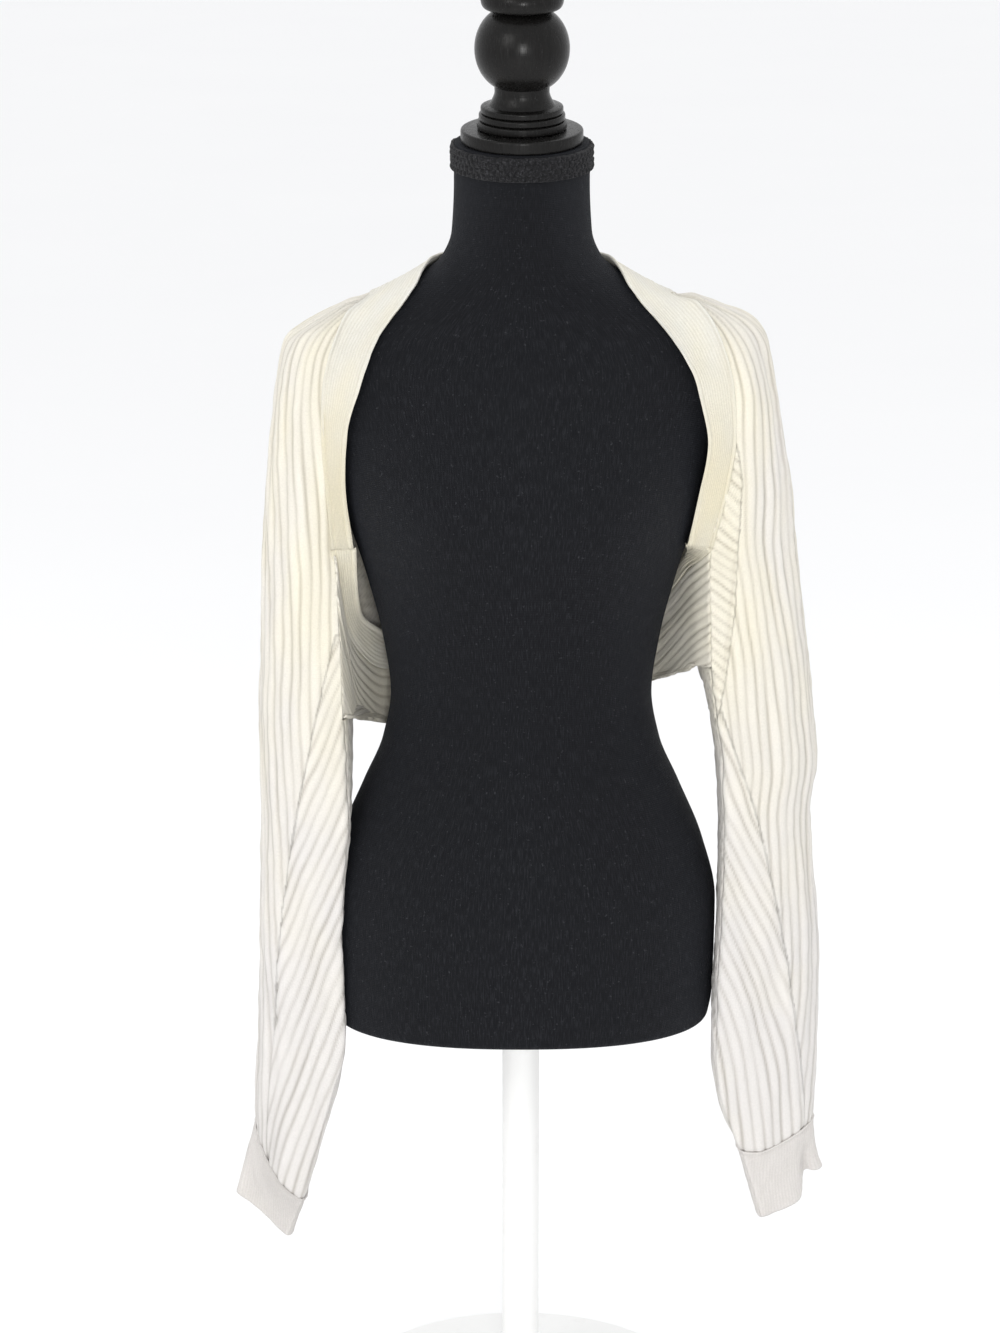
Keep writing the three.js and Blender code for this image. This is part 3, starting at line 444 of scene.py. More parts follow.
def grid_piece(name, surface, values, wall=0, keep=None, joined=0.0, flipped=False):
    """A piece on a grid of places surface[row, column] in mm, given this wall. `values` are
    attributes by name, keep[row, column] marks the cells that stay when not all do, and `joined`
    merges edge places that lie this close."""
    rows, cols = surface.shape[:2]
    bm = bmesh.new()
    bmesh.ops.create_grid(bm, x_segments=cols - 1, y_segments=rows - 1, size=1.0)
    bm.verts.ensure_lookup_table()
    at = np.array([vert.co[:] for vert in bm.verts])
    col = np.rint((at[:, 0] + 1) / 2 * (cols - 1)).astype(int)
    row = np.rint((at[:, 1] + 1) / 2 * (rows - 1)).astype(int)
    places = surface[row, col] + np.array((0, 0, LEVEL_LIFT))
    layers = {key: bm.verts.layers.float.new(key) for key in values}
    uv = bm.loops.layers.uv.new("Knit")
    along, around = values["along"], values["around"]
    gone = []
    for face in bm.faces:
        corners = [(row[v.index], col[v.index]) for v in face.verts]
        if keep is not None and not keep[min(c[0] for c in corners), min(c[1] for c in corners)]:
            gone.append(face)
            continue
        for loop, corner in zip(face.loops, corners):
            loop[uv].uv = (around[corner] * MM, along[corner] * MM)
    for vert in bm.verts:
        vert.co = places[vert.index] * MM
        for key, layer in layers.items():
            vert[layer] = values[key][row[vert.index], col[vert.index]]
    bmesh.ops.delete(bm, geom=gone, context="FACES")
    if joined:
        edge = [v for v in bm.verts if v.is_boundary]
        bmesh.ops.remove_doubles(bm, verts=edge, dist=joined * MM)
    if flipped:
        bmesh.ops.reverse_faces(bm, faces=bm.faces)
    obj = mesh_object(name, bm)
    if wall:
        thick = obj.modifiers.new("Wall", "SOLIDIFY")
        thick.thickness = wall * MM
        thick.offset = -1
    return obj


def normals_of(surface, side):
    across = np.gradient(surface, axis=1)
    down = np.gradient(surface, axis=0)
    return unit(np.cross(across, down)) * side


def lay_relief(surface, normals, relief, wall):
    """Moves the surface out by half a wall and its relief, which stays LEAST_GAP off the form."""
    distance, outward = form_distance(surface)
    room = np.maximum(distance - wall / 2 - LEAST_GAP, 0)
    facing_out = np.sum(normals * outward, axis=-1) > 0
    relief = np.where(facing_out, np.maximum(relief, -room), np.minimum(relief, room))
    return surface + normals * (relief + wall / 2)[..., None]


def rib(phase, pitch, depth, width):
    """Low crowned ribs with narrow grooves; and how far each place is into a groove, 0 to 1, which also
    sets the shade painted into the grooves.
    """
    from_groove = (phase / pitch - np.floor(phase / pitch)) - 0.5
    from_groove = (0.5 - np.abs(from_groove)) * pitch
    groove = hump(from_groove, width)
    crown = 1 - ((0.5 * pitch - from_groove) / (0.5 * pitch)) ** 2
    return depth * (0.22 * crown - groove), groove


def crease_field(place, creases):
    """Creases on the front of a piece, each from one place to another, fading at its ends."""
    out, height = np.abs(place[..., 0]), place[..., 2]
    total = np.zeros(out.shape)
    for (out_a, high_a), (out_b, high_b), depth, width in creases:
        run = np.array((out_b - out_a, high_b - high_a))
        length = math.hypot(*run)
        share = ((out - out_a) * run[0] + (height - high_a) * run[1]) / length**2
        off = ((out - out_a) * run[1] - (height - high_a) * run[0]) / length
        fade = smoothstep(share, -0.15, 0.25) * (1 - smoothstep(share, 0.75, 1.15))
        total += depth * hump(off, width) * fade
    return np.where(place[..., 1] < 8, total, 0)


# ---- sleeves and cuffs --------------------------------------------------------------------------
back_out, back_depth = columns(BACK_SEAM)
back_middle = columns(BACK_MIDDLE)[0]
front_seam = {RIGHT: columns(FRONT_SEAM_RIGHT), LEFT: columns(FRONT_SEAM_LEFT)}


def seam_place(given, out, depth):
    return given if isinstance(given, tuple) else (float(out(given)), float(depth(given)), given)


def shoulder_grip(place):
    up = smoothstep(place[..., 2], GRIP["low"], GRIP["high"])
    return up * (1 - smoothstep(np.abs(place[..., 0]), GRIP["inner"], GRIP["outer"]))


def even_out(places, parts):
    """The same polyline with `parts` even steps."""
    lengths = run_along(places)
    at = np.linspace(0, lengths[-1], parts + 1)
    return np.stack([np.interp(at, lengths, places[:, axis]) for axis in range(3)], axis=-1)


def sleeve_grid(table, side, wall, row_numbers, parts):
    """Places of a sleeve or cuff: rows along it, and columns from its front edge round its outer
    edge and its back to the side by the form, and to the front edge again."""
    numbers = range(len(table))
    out, depth = front_seam[side]
    front = place_curve(numbers, [seam_place(row[0], out, depth) for row in table])
    edge = place_curve(numbers, [row[1] for row in table])
    back = place_curve(numbers, [seam_place(row[2], back_out, back_depth) for row in table])
    tuck = smooth_curve(numbers, [row[3] for row in table])
    angle = np.linspace(0, math.pi / 2, 160)[:, None]
    reach, deep = np.sin(angle) ** (2 / SLEEVE_SQUARE), np.cos(angle) ** (2 / SLEEVE_SQUARE)
    half_turn = np.linspace(0, math.pi, 80)[:, None]
    grid = []
    for number in row_numbers:
        f, e, b = front(number), edge(number), back(number)
        weight = np.hstack((reach, 1 - deep, reach))
        ahead = f + (e - f) * weight
        behind = (b + (e - b) * weight)[::-1]
        inner = b + (f - b) * (1 - np.cos(half_turn)) / 2
        inner[:, 0] -= tuck(number) * np.sin(half_turn[:, 0])
        stretches = [even_out(s, n) for s, n in zip((ahead, behind, inner), parts)]
        grid.append(np.vstack((stretches[0], stretches[1][1:], stretches[2][1:])))
    grid = np.array(grid)
    return settle(grid, wall / 2 + CLEARANCE, shoulder_grip(grid)) * np.array((side, 1, 1))


def soften(grid, rounds, closed, open_cols):
    """Rounds the edges of a sleeve's sections; rows not in `closed` keep their two ends."""
    for _ in range(rounds):
        ring = grid[:, :-1]
        blend = (np.roll(ring, 1, 1) + 2 * ring + np.roll(ring, -1, 1)) / 4
        part = grid[:, : open_cols + 1]
        held = part.copy()
        held[:, 1:-1] = (part[:, :-2] + 2 * part[:, 1:-1] + part[:, 2:]) / 4
        opened = grid.copy()
        opened[:, : open_cols + 1] = held
        shut = np.concatenate((blend, blend[:, :1]), axis=1)
        grid = np.where(closed[:, None, None], shut, opened)
    return grid


def round_distance(grid, edge_col, open_cols):
    """Distance round each section from its outer edge: positive to the front, negative behind."""
    run = run_along(grid, axis=1)
    distance = run[:, edge_col : edge_col + 1] - run
    whole = run[:, -1:]
    seam_col = (open_cols + grid.shape[1] - 1) // 2
    number = np.arange(grid.shape[1])[None, :]
    return np.where(number > seam_col, distance + whole, distance)


def down_distance(grid, col):
    """Distance of each row from the last one, along this column."""
    run = run_along(grid[:, col])
    return (run[-1] - run)[:, None]


def seam_curve(distance, dips):
    """How far the cuff's seam lies off its straight course, by the share of the way from the
    sleeve's outer edge (0) round to its front edge (1); the back follows it less."""
    shares, drops = [row[0] for row in dips], [row[1] for row in dips]
    width = np.max(distance)
    ahead = smooth_curve(shares, drops)(np.clip(distance / width, 0, 1))
    behind = smooth_curve(shares, drops)(np.clip(-distance / width, 0, 1))
    return np.where(distance >= 0, ahead, 0.5 * behind)


def line_distance(grid, distance, edge_col, line):
    """For each row, the distance round to a line that a table gives by height and out."""
    heights = [row[0] for row in line][::-1]
    outs = [row[1] for row in line][::-1]
    found = []
    for row, away in zip(grid[:, : edge_col + 1], distance[:, : edge_col + 1]):
        out = np.maximum.accumulate(np.abs(row[:, 0]))
        target = np.interp(row[edge_col // 2, 2], heights, outs)
        found.append(np.interp(target, out, away) if target > out[0] else away[0] + out[0] - target)
    return np.array(found)[:, None]


def rib_phase(distance, down, spine, gusset, slant, twist):
    """Where each place lies across the ribs, in mm: along the sleeve outside the spine line, and
    slanting towards it inside. `slant` is how far the slanting ribs have moved round."""
    outer = distance - twist * down
    front = np.where(distance > spine, 0.93 * distance + slant, outer)
    back = np.where(-distance > spine + 6, 0.93 * distance - slant, outer)
    phase = np.where(distance >= 0, front, back)
    return np.where(distance > gusset, 0.78 * down + 0.62 * distance, phase)


def row_numbers(table, count, dense):
    """Row numbers for a sleeve, evenly spaced along it. `dense` is two heights, and how many times
    closer the rows are between them."""
    edge = place_curve(range(len(table)), [row[1] for row in table])
    number = np.linspace(0, len(table) - 1, 2000)
    places = edge(number)
    steps = np.linalg.norm(np.diff(places, axis=0), axis=1)
    height = places[1:, 2]
    low, high, times = dense
    blend = 15
    within = smoothstep(height, low - blend, low) * (1 - smoothstep(height, high, high + blend))
    steps = steps * (1 + (times - 1) * within)
    run = np.concatenate(([0], np.cumsum(steps)))
    return np.interp(np.linspace(0, run[-1], count), run, number)


def sleeve(name, table, side, first_open, spine, gusset, folds, creases, twist, dense, dips, seed):
    """A sleeve from its cuff's seam up; rows after `first_open` stop at the seam by the form."""
    edge_col, open_cols = SLEEVE_COLUMNS[0], sum(SLEEVE_COLUMNS[:2])
    number = row_numbers(table, SLEEVE_ROWS, dense)
    grid = sleeve_grid(table, side, KNIT_WALL, number, SLEEVE_COLUMNS)
    closed = number <= first_open
    grid = soften(grid, 8, closed, open_cols)
    fade = 1 - smoothstep(grid[:, :, 2] - grid[:1, :, 2], 0, 90)
    grid[..., 2] += seam_curve(round_distance(grid[:1], edge_col, open_cols), dips) * fade
    normals = normals_of(grid, side)
    distance = round_distance(grid, edge_col, open_cols)
    down = down_distance(grid, edge_col)
    height = grid[..., 2]
    at_spine = line_distance(grid, distance, edge_col, spine)
    at_spine = np.where(height[:, edge_col : edge_col + 1] > spine[0][0], BEYOND, at_spine)
    # The slanting ribs come round by this much for each step down; less so on the forearm.
    slope = 0.14 + 0.26 * smoothstep(height[:, edge_col], -110, 30)
    step = -np.diff(down[:, 0], append=down[-1, 0])
    slant = np.cumsum((slope * step)[::-1])[::-1][:, None]
    at_gusset = np.full((SLEEVE_ROWS, 1), BEYOND)
    if gusset:
        inside = (height[:, :1] < gusset[0][0]) & (height[:, :1] > gusset[-1][0])
        at_gusset = np.where(inside, line_distance(grid, distance, edge_col, gusset), BEYOND)
    uneven = 1.5 * wander(distance, down, seed, 260, 70)
    phase = rib_phase(distance, down, at_spine, at_gusset, slant, twist) + uneven
    depth = 0.85 + 0.45 * wander(phase, down, seed + 1, 300, 34)
    relief, groove = rib(phase, RIB_PITCH, depth, 1.25)
    relief = relief + 0.9 * wander(phase, down, seed + 2, 420, 30)
    relief += 0.5 * wander(distance, down, seed + 3, 46, 40)
    for at, high, low, deep, wide in folds:
        fade = smoothstep(height, low, low + 50) * (1 - smoothstep(height, high - 45, high))
        drift = 3.0 * np.sin(down / 90 + at)
        relief += deep * hump(distance - at - drift, wide) * fade
    relief += crease_field(grid, creases)
    relief -= 0.7 * hump(distance - at_spine, 2.6)
    relief -= 1.2 * hump(distance - at_gusset, 2.0) * (1 - smoothstep(height, 420, 490))
    from_cuff = down[0] - down
    relief -= 0.7 * hump(from_cuff, 3.0)
    surface = lay_relief(grid, normals, relief, KNIT_WALL)
    keep = np.ones((SLEEVE_ROWS - 1, grid.shape[1] - 1), bool)
    keep[~closed[1:], open_cols:] = False
    warm = smoothstep(height, -60, 420) * (0.55 + 0.3 * wander(distance, down, seed + 4, 300, 90))
    warm = warm + 0.45 * smoothstep(distance, 40, 85) * smoothstep(height, 150, 380)
    # groove: how much painted shade darkens the colour in the rib grooves
    values = {
        "groove": np.clip(groove * depth, 0, 1.2),
        "warm": np.clip(warm, 0, 1),
        "along": np.broadcast_to(down, distance.shape),
        "around": phase,
    }
    return grid_piece(name, surface, values, KNIT_THICKNESS, keep, JOIN_WITHIN, side == RIGHT)


def cuff(name, table, side, shape, dips, seed):
    """A cuff of fine rib; shape(distance, share) gives its own folds, and how far each place is
    moved up or down."""
    edge_col, open_cols = CUFF_COLUMNS[0], sum(CUFF_COLUMNS[:2])
    number = np.linspace(0, len(table) - 1, CUFF_ROWS)
    grid = sleeve_grid(table, side, BAND_WALL, number, CUFF_COLUMNS)
    under = 6  # rows drawn up into the seam
    overlap = SEAM_OVERLAP * np.linspace(1, 0, under)[:, None, None]
    grid[:under] += unit(grid[:1] - grid[under : under + 1]) * overlap
    grid = soften(grid, 10, np.ones(CUFF_ROWS, bool), open_cols)
    share = np.linspace(0, 1, CUFF_ROWS)[:, None]
    grid[..., 2] += seam_curve(round_distance(grid[:1], edge_col, open_cols), dips) * (1 - share) ** 1.5
    distance = round_distance(grid, edge_col, open_cols)
    down = down_distance(grid, edge_col)
    normals = normals_of(grid, -side)
    soft, drop = shape(distance, share)
    grid[..., 2] += drop
    phase = distance + 0.6 * wander(distance, down, seed, 60, 50)
    relief, groove = rib(phase, FINE_PITCH, 0.38, 0.62)
    relief = relief + soft + 0.3 * wander(distance, down, seed + 1, 40, 22)
    length = down[0] - down[-1]
    from_seam = share * length
    stitch = 0.55 + 0.45 * np.abs(np.sin(math.pi * distance / 3.1))
    relief += 1.15 * stitch * hump(from_seam - 1.3, 1.0)
    relief -= 0.9 * hump(from_seam - 3.6, 1.0)
    relief += 0.35 * hump(from_seam - length + 1.5, 1.6)
    surface = lay_relief(grid, normals, relief, BAND_WALL)
    # groove: how much painted shade darkens the colour in the fine rib grooves
    values = {
        "groove": 0.32 * groove,
        "warm": np.full(distance.shape, 0.06),
        "along": np.broadcast_to(down, distance.shape),
        "around": phase,
    }
    return grid_piece(name, surface, values, BAND_THICKNESS, None, JOIN_WITHIN, side == LEFT)


def right_cuff_shape(distance, share):
    """Folded flat at its outer side, with its hem lowest at the front's inner corner."""
    ridge = 2.4 * hump(distance - 10, 5) * (0.4 + 0.6 * share)
    hollow = -2.2 * hump(distance - 36, 14) * share
    behind = -2.5 * hump(distance + 26, 12) * share
    drop = share * (2.0 * np.sin(distance / 17) - 3.0 * hump(distance + 12, 14))
    return ridge + hollow + behind, drop


def left_cuff_shape(distance, share):
    """Two lobes with a deep valley between them, the outer one shorter."""
    valley = -9.5 * hump(distance - 20, 6.5) * smoothstep(share, 0.1, 1.0)
    lobe = 3.0 * hump(distance - 40, 12) * share
    outer = 2.5 * hump(distance - 3, 8) * share
    behind = -3.0 * hump(distance + 36, 10) * share
    rise = 15.0 * (1 - smoothstep(distance, 16, 30)) * smoothstep(distance, -46, -14)
    notch = 5.0 * hump(distance - 20, 6)
    return valley + lobe + outer + behind, share**1.5 * (rise + notch)


# ---- back panel ---------------------------------------------------------------------------------
def turn_curves(table):
    places = [row[0] for row in table]
    return place_curve(places, [row[1] for row in table]), place_curve(places, [row[2] for row in table])


def outer_back(across, height):
    seam_out, seam_depth = back_out(height), back_depth(height)
    swell = math.cos(across * math.pi / 2) ** BACK_ROUND if across < 1 else 0.0
    depth = seam_depth + (back_middle(height) - seam_depth) * swell
    return np.stack((across * seam_out, depth, height), axis=-1)


def back_section(curves, across, rows):
    """One section of the back: down its outer layer, round the fold, up to the hem band."""
    fold, hem = curves[0](across), curves[1](across)
    outer = outer_back(across, np.linspace(BACK_TOP, fold[2], 240))
    angle = np.linspace(0, math.pi, 60)[1:, None]
    under = outer[-1] + (fold - outer[-1]) * (1 - np.cos(angle)) / 2
    sideways = across**4
    under[:, 0] -= FOLD_TUCK * sideways * np.sin(angle[:, 0])
    under[:, 2] -= FOLD_DROP * (1 - sideways) * np.sin(angle[:, 0])
    turned = fold + (hem - fold) * np.linspace(0, 1, 40)[1:, None]
    return even_out(np.vstack((outer, under, turned)), rows)


def back_panel():
    right, left = turn_curves(TURN_RIGHT), turn_curves(TURN_LEFT)
    sections = []
    for across in np.linspace(-1, 1, BACK_COLUMNS + 1):
        side = RIGHT if across < 0 else LEFT
        section = back_section(right if across < 0 else left, abs(across), BACK_ROWS)
        section = settle(section, KNIT_WALL / 2 + CLEARANCE, shoulder_grip(section))
        sections.append(section * np.array((side, 1, 1)))
    grid = np.stack(sections, axis=1)
    for _ in range(3):
        grid[1:-1] = (grid[:-2] + 2 * grid[1:-1] + grid[2:]) / 4
    normals = normals_of(grid, 1)
    run = run_along(grid)
    from_hem = run[-1:] - run
    side_run = run_along(grid[BACK_ROWS // 3])
    sideways = np.broadcast_to(side_run[None, :], run.shape)
    fold_row = np.argmin(grid[..., 2], axis=0)[None, :]
    outer_layer = np.arange(len(grid))[:, None] <= fold_row
    phase = np.where(outer_layer, run, from_hem) + 1.6 * wander(from_hem, sideways, 31, 240, 90)
    depth = 0.9 + 0.45 * wander(phase, sideways, 32, 260, 34)
    relief, groove = rib(phase, RIB_PITCH, depth, 1.15)
    relief = relief + 0.8 * wander(phase, sideways, 33, 300, 30)
    middle = sideways - side_run[-1] / 2
    for at, deep, wide, centre, reach in BACK_SAGS:
        sag = from_hem - at - 0.0011 * (middle - centre) ** 2
        relief += deep * hump(sag, wide) * np.exp(-(((middle - centre) / reach) ** 4))
    relief -= 1.1 * hump(from_hem, 2.5)
    surface = lay_relief(grid, normals, relief, KNIT_WALL)
    inside = 1 - smoothstep(from_hem, 90, 160)
    # groove: how much painted shade darkens the colour in the rib grooves
    values = {
        "groove": np.clip(groove * depth, 0, 1.2),
        "warm": np.clip(0.55 + 0.35 * inside + 0.2 * wander(from_hem, sideways, 34, 300, 100), 0, 1),
        "along": sideways,
        "around": phase,
    }
    return grid_piece("Back_panel", surface, values, KNIT_THICKNESS)


# ---- bands --------------------------------------------------------------------------------------
def band(name, right_table, left_table, row_count, side, seed):
    """A fine rib band from the right underarm to the left one, behind the neck or inside the
    back's hem; side, 1 or -1, turns its outer face out."""
    places = []
    for table, sign in ((right_table, RIGHT), (left_table[:-1][::-1], LEFT)):
        out, depth = front_seam[sign]
        for seam, rim, grip in table:
            mirror = np.array((sign, 1, 1))
            places.append((seam_place(seam, out, depth) * mirror, rim * mirror, grip))
    numbers = range(len(places))
    seam, rim = (place_curve(numbers, [row[i] for row in places]) for i in (0, 1))
    grip = smooth_curve(numbers, [row[2] for row in places])
    number = np.linspace(0, len(places) - 1, 1200)
    run = run_along((seam(number) + rim(number)) / 2)
    number = np.interp(np.linspace(0, run[-1], row_count), run, number)
    share = np.linspace(0, 1, BAND_COLUMNS + 1)[None, :]
    sewn = seam(number)
    grid = sewn[:, None] * (1 - share[..., None]) + rim(number)[:, None] * share[..., None]
    held = shoulder_grip(sewn)[:, None] * (1 - share) + grip(number)[:, None] * share
    grid = settle(grid, BAND_WALL / 2 + CLEARANCE, held)
    under = 4  # columns drawn into the seam
    overlap = np.linspace(SEAM_OVERLAP, 0, under)[None, :, None]
    grid[:, :under] += unit(grid[:, :1] - grid[:, under : under + 1]) * overlap
    normals = normals_of(grid, side)
    across = run_along(grid, axis=1)
    width = across[:, -1:]
    along = np.broadcast_to(np.linspace(0, run[-1], row_count)[:, None], across.shape)
    from_rim = width - across
    ribs = round(float(np.mean(width)) / FINE_PITCH)
    phase = from_rim / width * ribs * FINE_PITCH
    relief, groove = rib(phase, FINE_PITCH, 0.34, 0.62)
    plain = smoothstep(from_rim, 3.0, 4.5) * smoothstep(across, 2.0, 3.0)
    relief = relief * plain + 0.35 * wander(across, along, seed, 70, 26)
    relief += 1.0 * hump(from_rim - 1.7, 1.9) - 0.5 * hump(from_rim - 4.4, 0.8)
    stitch = 0.6 + 0.4 * np.abs(np.sin(math.pi * along / 3.4))
    relief += 0.8 * stitch * hump(across - 1.2, 0.9)
    relief -= 0.7 * hump(across - 3.2, 0.9)
    from_end = np.minimum(along, run[-1] - along)
    relief -= 0.6 * hump(from_end, 1.6) - 0.4 * hump(from_end - 3.4, 1.6)
    surface = lay_relief(grid, normals, relief, BAND_WALL)
    height = grid[..., 2]
    warm = 0.25 + 0.65 * smoothstep(height, 300, 400) * (1 - smoothstep(height, 480, 600))
    # groove: how much painted shade darkens the colour in the fine rib grooves
    values = {
        "groove": 0.5 * groove * plain,
        "warm": np.clip(warm + 0.15 * wander(across, along, seed + 1, 160, 60), 0, 1),
        "along": along,
        "around": phase,
    }
    return grid_piece(name, surface, values, BAND_THICKNESS, flipped=side < 0)


# ---- dress form ---------------------------------------------------------------------------------
FORM_BOTTOM, FORM_TOP = FORM_SECTIONS[0][0], FORM_SECTIONS[-1][0]
FORM_EDGE = 5.0
FORM_SIDES = 192
UNDERSIDE_REACH = 160
BRAID = {"below": 1.0, "height": 21.0, "rows": 4, "knots": 66, "sides": 528}


def form_places(turn, height, swell):
    """Places round the form at each height, moved out by `swell`; a turn of 0 or 1 is its left."""
    angle = turn * 2 * math.pi
    cos, sin = np.cos(angle), np.sin(angle)
    power = 2 / FORM["square"](height)
    depth = np.where(sin < 0, FORM["front"](height), FORM["back"](height)) + swell
    x = (FORM["half"](height) + swell) * np.sign(cos) * np.abs(cos) ** power
    offset = depth * np.sign(sin) * np.abs(sin) ** power
    off = (np.abs(x) - BUST["from_middle"]) / BUST["width"]
    up = (height - BUST["height"]) / BUST["spread"]
    start = np.clip(-BUST["start"] * sin, 0, 1)
    bust = BUST["reach"] * np.exp(-(off**2) - up**2) * start
    y = FORM["middle"](height) + offset - bust
    return np.stack((x, y, height + FORM["lean"](height) * offset), axis=-1)


def form_body():
    """The form: across its flat underside, round its lower edge, up its sides and over its top."""
    heights, insets = [], []
    for share in np.linspace(0, 1, 8, endpoint=False):
        heights.append(FORM_BOTTOM)
        insets.append((1 - share) * UNDERSIDE_REACH + share * FORM_EDGE)
    for angle in np.linspace(0, math.pi / 2, 6):
        heights.append(FORM_BOTTOM + FORM_EDGE * (1 - math.cos(angle)))
        insets.append(FORM_EDGE * (1 - math.sin(angle)))
    for height in np.linspace(-3, FORM_TOP - 2, 190):
        heights.append(height)
        insets.append(0.0)
    for inset in (0.6, 2.0, 20.0, 51.0):
        heights.append(FORM_TOP)
        insets.append(inset)
    turn = np.linspace(0, 1, FORM_SIDES + 1)[None, :]
    height = np.array(heights)[:, None]
    inset = np.array(insets)[:, None]
    grid = form_places(turn, height, 0)
    centre = np.stack((np.zeros_like(height), FORM["middle"](height), height), axis=-1)
    reach = np.linalg.norm((grid - centre)[..., :2], axis=-1)
    grid = centre + (grid - centre) * (1 - np.minimum(inset / reach, 0.999))[..., None]
    values = {
        "along": np.broadcast_to(height, reach.shape),
        "around": np.broadcast_to(turn * 900, reach.shape),
    }
    return grid_piece("Form_body", grid, values, joined=0.6)


def neck_braid():
    """Four rows of knots round the neck's top edge."""
    top, tall = FORM_TOP - BRAID["below"], BRAID["height"]
    drop = np.concatenate(([tall, tall - 0.4], np.linspace(tall - 1, 1.0, 34), [0.4, 0.0]))
    swell = np.concatenate(([0.3, 1.0], np.full(34, 1.7), [1.0, 0.3]))
    turn = np.linspace(0, 1, BRAID["sides"] + 1)[None, :]
    drop, swell = drop[:, None], swell[:, None]
    row = drop / tall * BRAID["rows"]
    offset = np.where(np.floor(row) % 2 == 0, 0.0, 0.5)
    knot = np.abs(np.cos(math.pi * (turn * BRAID["knots"] + offset))) * np.abs(np.sin(math.pi * row))
    slack = wander(turn * 360, drop + 0 * turn, 71, 14, 17)
    swell = swell + 1.7 * np.sqrt(knot) * (1 + 0.25 * slack) * (swell > 1.2)
    grid = form_places(turn, top - drop + 0.5 * slack, swell)
    inner = form_places(turn, np.array((top, top - 7, top - 14, top - tall))[:, None], 0.3)
    grid = np.concatenate((grid, inner))
    around = np.broadcast_to(turn * 360, grid.shape[:2])
    values = {"along": grid[..., 2], "around": around}
    return grid_piece("Neck_braid", grid, values, joined=0.01)


# ---- turned pieces ------------------------------------------------------------------------------
CAP_RADIUS = 50.5
CAP_THICKNESS = 11
CAP_LEAN = 7
SEAT_GAP = 0.3
FINIAL_RINGS = ((37, 7), (35.5, 6), (34, 6))
BALL = {"radius": 39, "bottom": 30, "height": 72, "start": -0.33, "end": 0.34, "round": 0.8}
BEAD = {"radius": 34, "height": 15, "bulge": 4, "turn": 0.42, "gap": 2}
DOME = {"shoulder": 20.4, "rise": 5.6, "height": 8}
POLE_RADIUS = 16
FLANGE_RADIUS = 46
FLANGE_THICKNESS = 8
FOOT = {"radius": 37, "height": 5, "collar": 20, "collar_height": 13, "top": 14.5}
BASE_RADIUS = 150
BASE_THICKNESS = 14
BASE_RIM = 8.4
BASE_SLOPE = 6
RING_NECK = 2.2
RING_CORNER = 0.7


def rounded(profile, radius):
    """The profile with each corner between its ends rounded."""
    points = [np.array(p, float) for p in profile]
    result = [points[0]]
    for before, corner, after in zip(points, points[1:], points[2:]):
        into, away = before - corner, after - corner
        cut = min(radius, np.linalg.norm(into) * 0.45, np.linalg.norm(away) * 0.45)
        start = corner + into / np.linalg.norm(into) * cut
        end = corner + away / np.linalg.norm(away) * cut
        for t in (0, 0.25, 0.5, 0.75, 1):
            result.append((1 - t) ** 2 * start + 2 * t * (1 - t) * corner + t * t * end)
    return result + [points[-1]]


def turned(name, profile, foot, lean=0.0, sides=128):
    """A turned piece from its profile of (radius, height), standing on `foot`."""
    bm = bmesh.new()
    verts = [bm.verts.new((r * MM, 0, h * MM)) for r, h in profile]
    edges = [bm.edges.new(pair) for pair in zip(verts, verts[1:])]
    bmesh.ops.spin(
        bm, geom=verts + edges, cent=(0, 0, 0), axis=(0, 0, 1), dvec=(0, 0, 0),
        angle=2 * math.pi, steps=sides, use_merge=True, use_duplicate=False,
    )
    bmesh.ops.remove_doubles(bm, verts=bm.verts, dist=0.00002)
    bmesh.ops.recalc_face_normals(bm, faces=bm.faces)
    if sum(face.calc_area() * face.normal.dot(face.calc_center_median()) for face in bm.faces) < 0:
        bmesh.ops.reverse_faces(bm, faces=bm.faces)
    tilt = Matrix.Rotation(math.radians(lean), 3, "X")
    bmesh.ops.rotate(bm, verts=bm.verts, cent=(0, 0, 0), matrix=tilt)
    bmesh.ops.translate(bm, verts=bm.verts, vec=[value * MM for value in foot])
    obj = mesh_object(name, bm)
    obj.data.set_sharp_from_angle(angle=math.radians(40))
    return obj


def finial_profile():
    """From the bottom up: stacked rings, a waist, the ball, a bead and a low dome."""
    profile = [(0, 0)]
    height = 0.0
    for radius, tall in FINIAL_RINGS:
        neck, ring_top = radius - RING_NECK, height + tall
        low, high = height + RING_CORNER, ring_top - RING_CORNER
        profile += rounded([(neck, height), (radius, low), (radius, high), (neck, ring_top)], 1.6)
        height += tall + 0.01
    waist = [(27.5, height + 0.6), (25.2, height + 3.5), (23.2, 27.0), (22.5, 30.0)]
    profile += rounded(waist, 3.0)
    middle = BALL["bottom"] + BALL["height"] / 2
    for share in np.linspace(0, 1, 40):
        angle = (BALL["start"] + (BALL["end"] - BALL["start"]) * share) * math.pi
        radius = BALL["radius"] * math.cos(angle) ** BALL["round"]
        profile.append((radius, middle + BALL["height"] / 2 * math.sin(angle)))
    bottom = middle + BALL["height"] / 2 * math.sin(BALL["end"] * math.pi) + BEAD["gap"]
    for angle in np.linspace(-BEAD["turn"], BEAD["turn"], 18) * math.pi:
        rise = BEAD["height"] / 2 * (1 + math.sin(angle))
        profile.append((BEAD["radius"] + BEAD["bulge"] * (math.cos(angle) - 1), bottom + rise))
    top = bottom + BEAD["height"]
    dome = [(30, top + 0.2), (DOME["shoulder"], top + DOME["rise"]), (0, top + DOME["height"])]
    return profile + rounded(dome, 8)


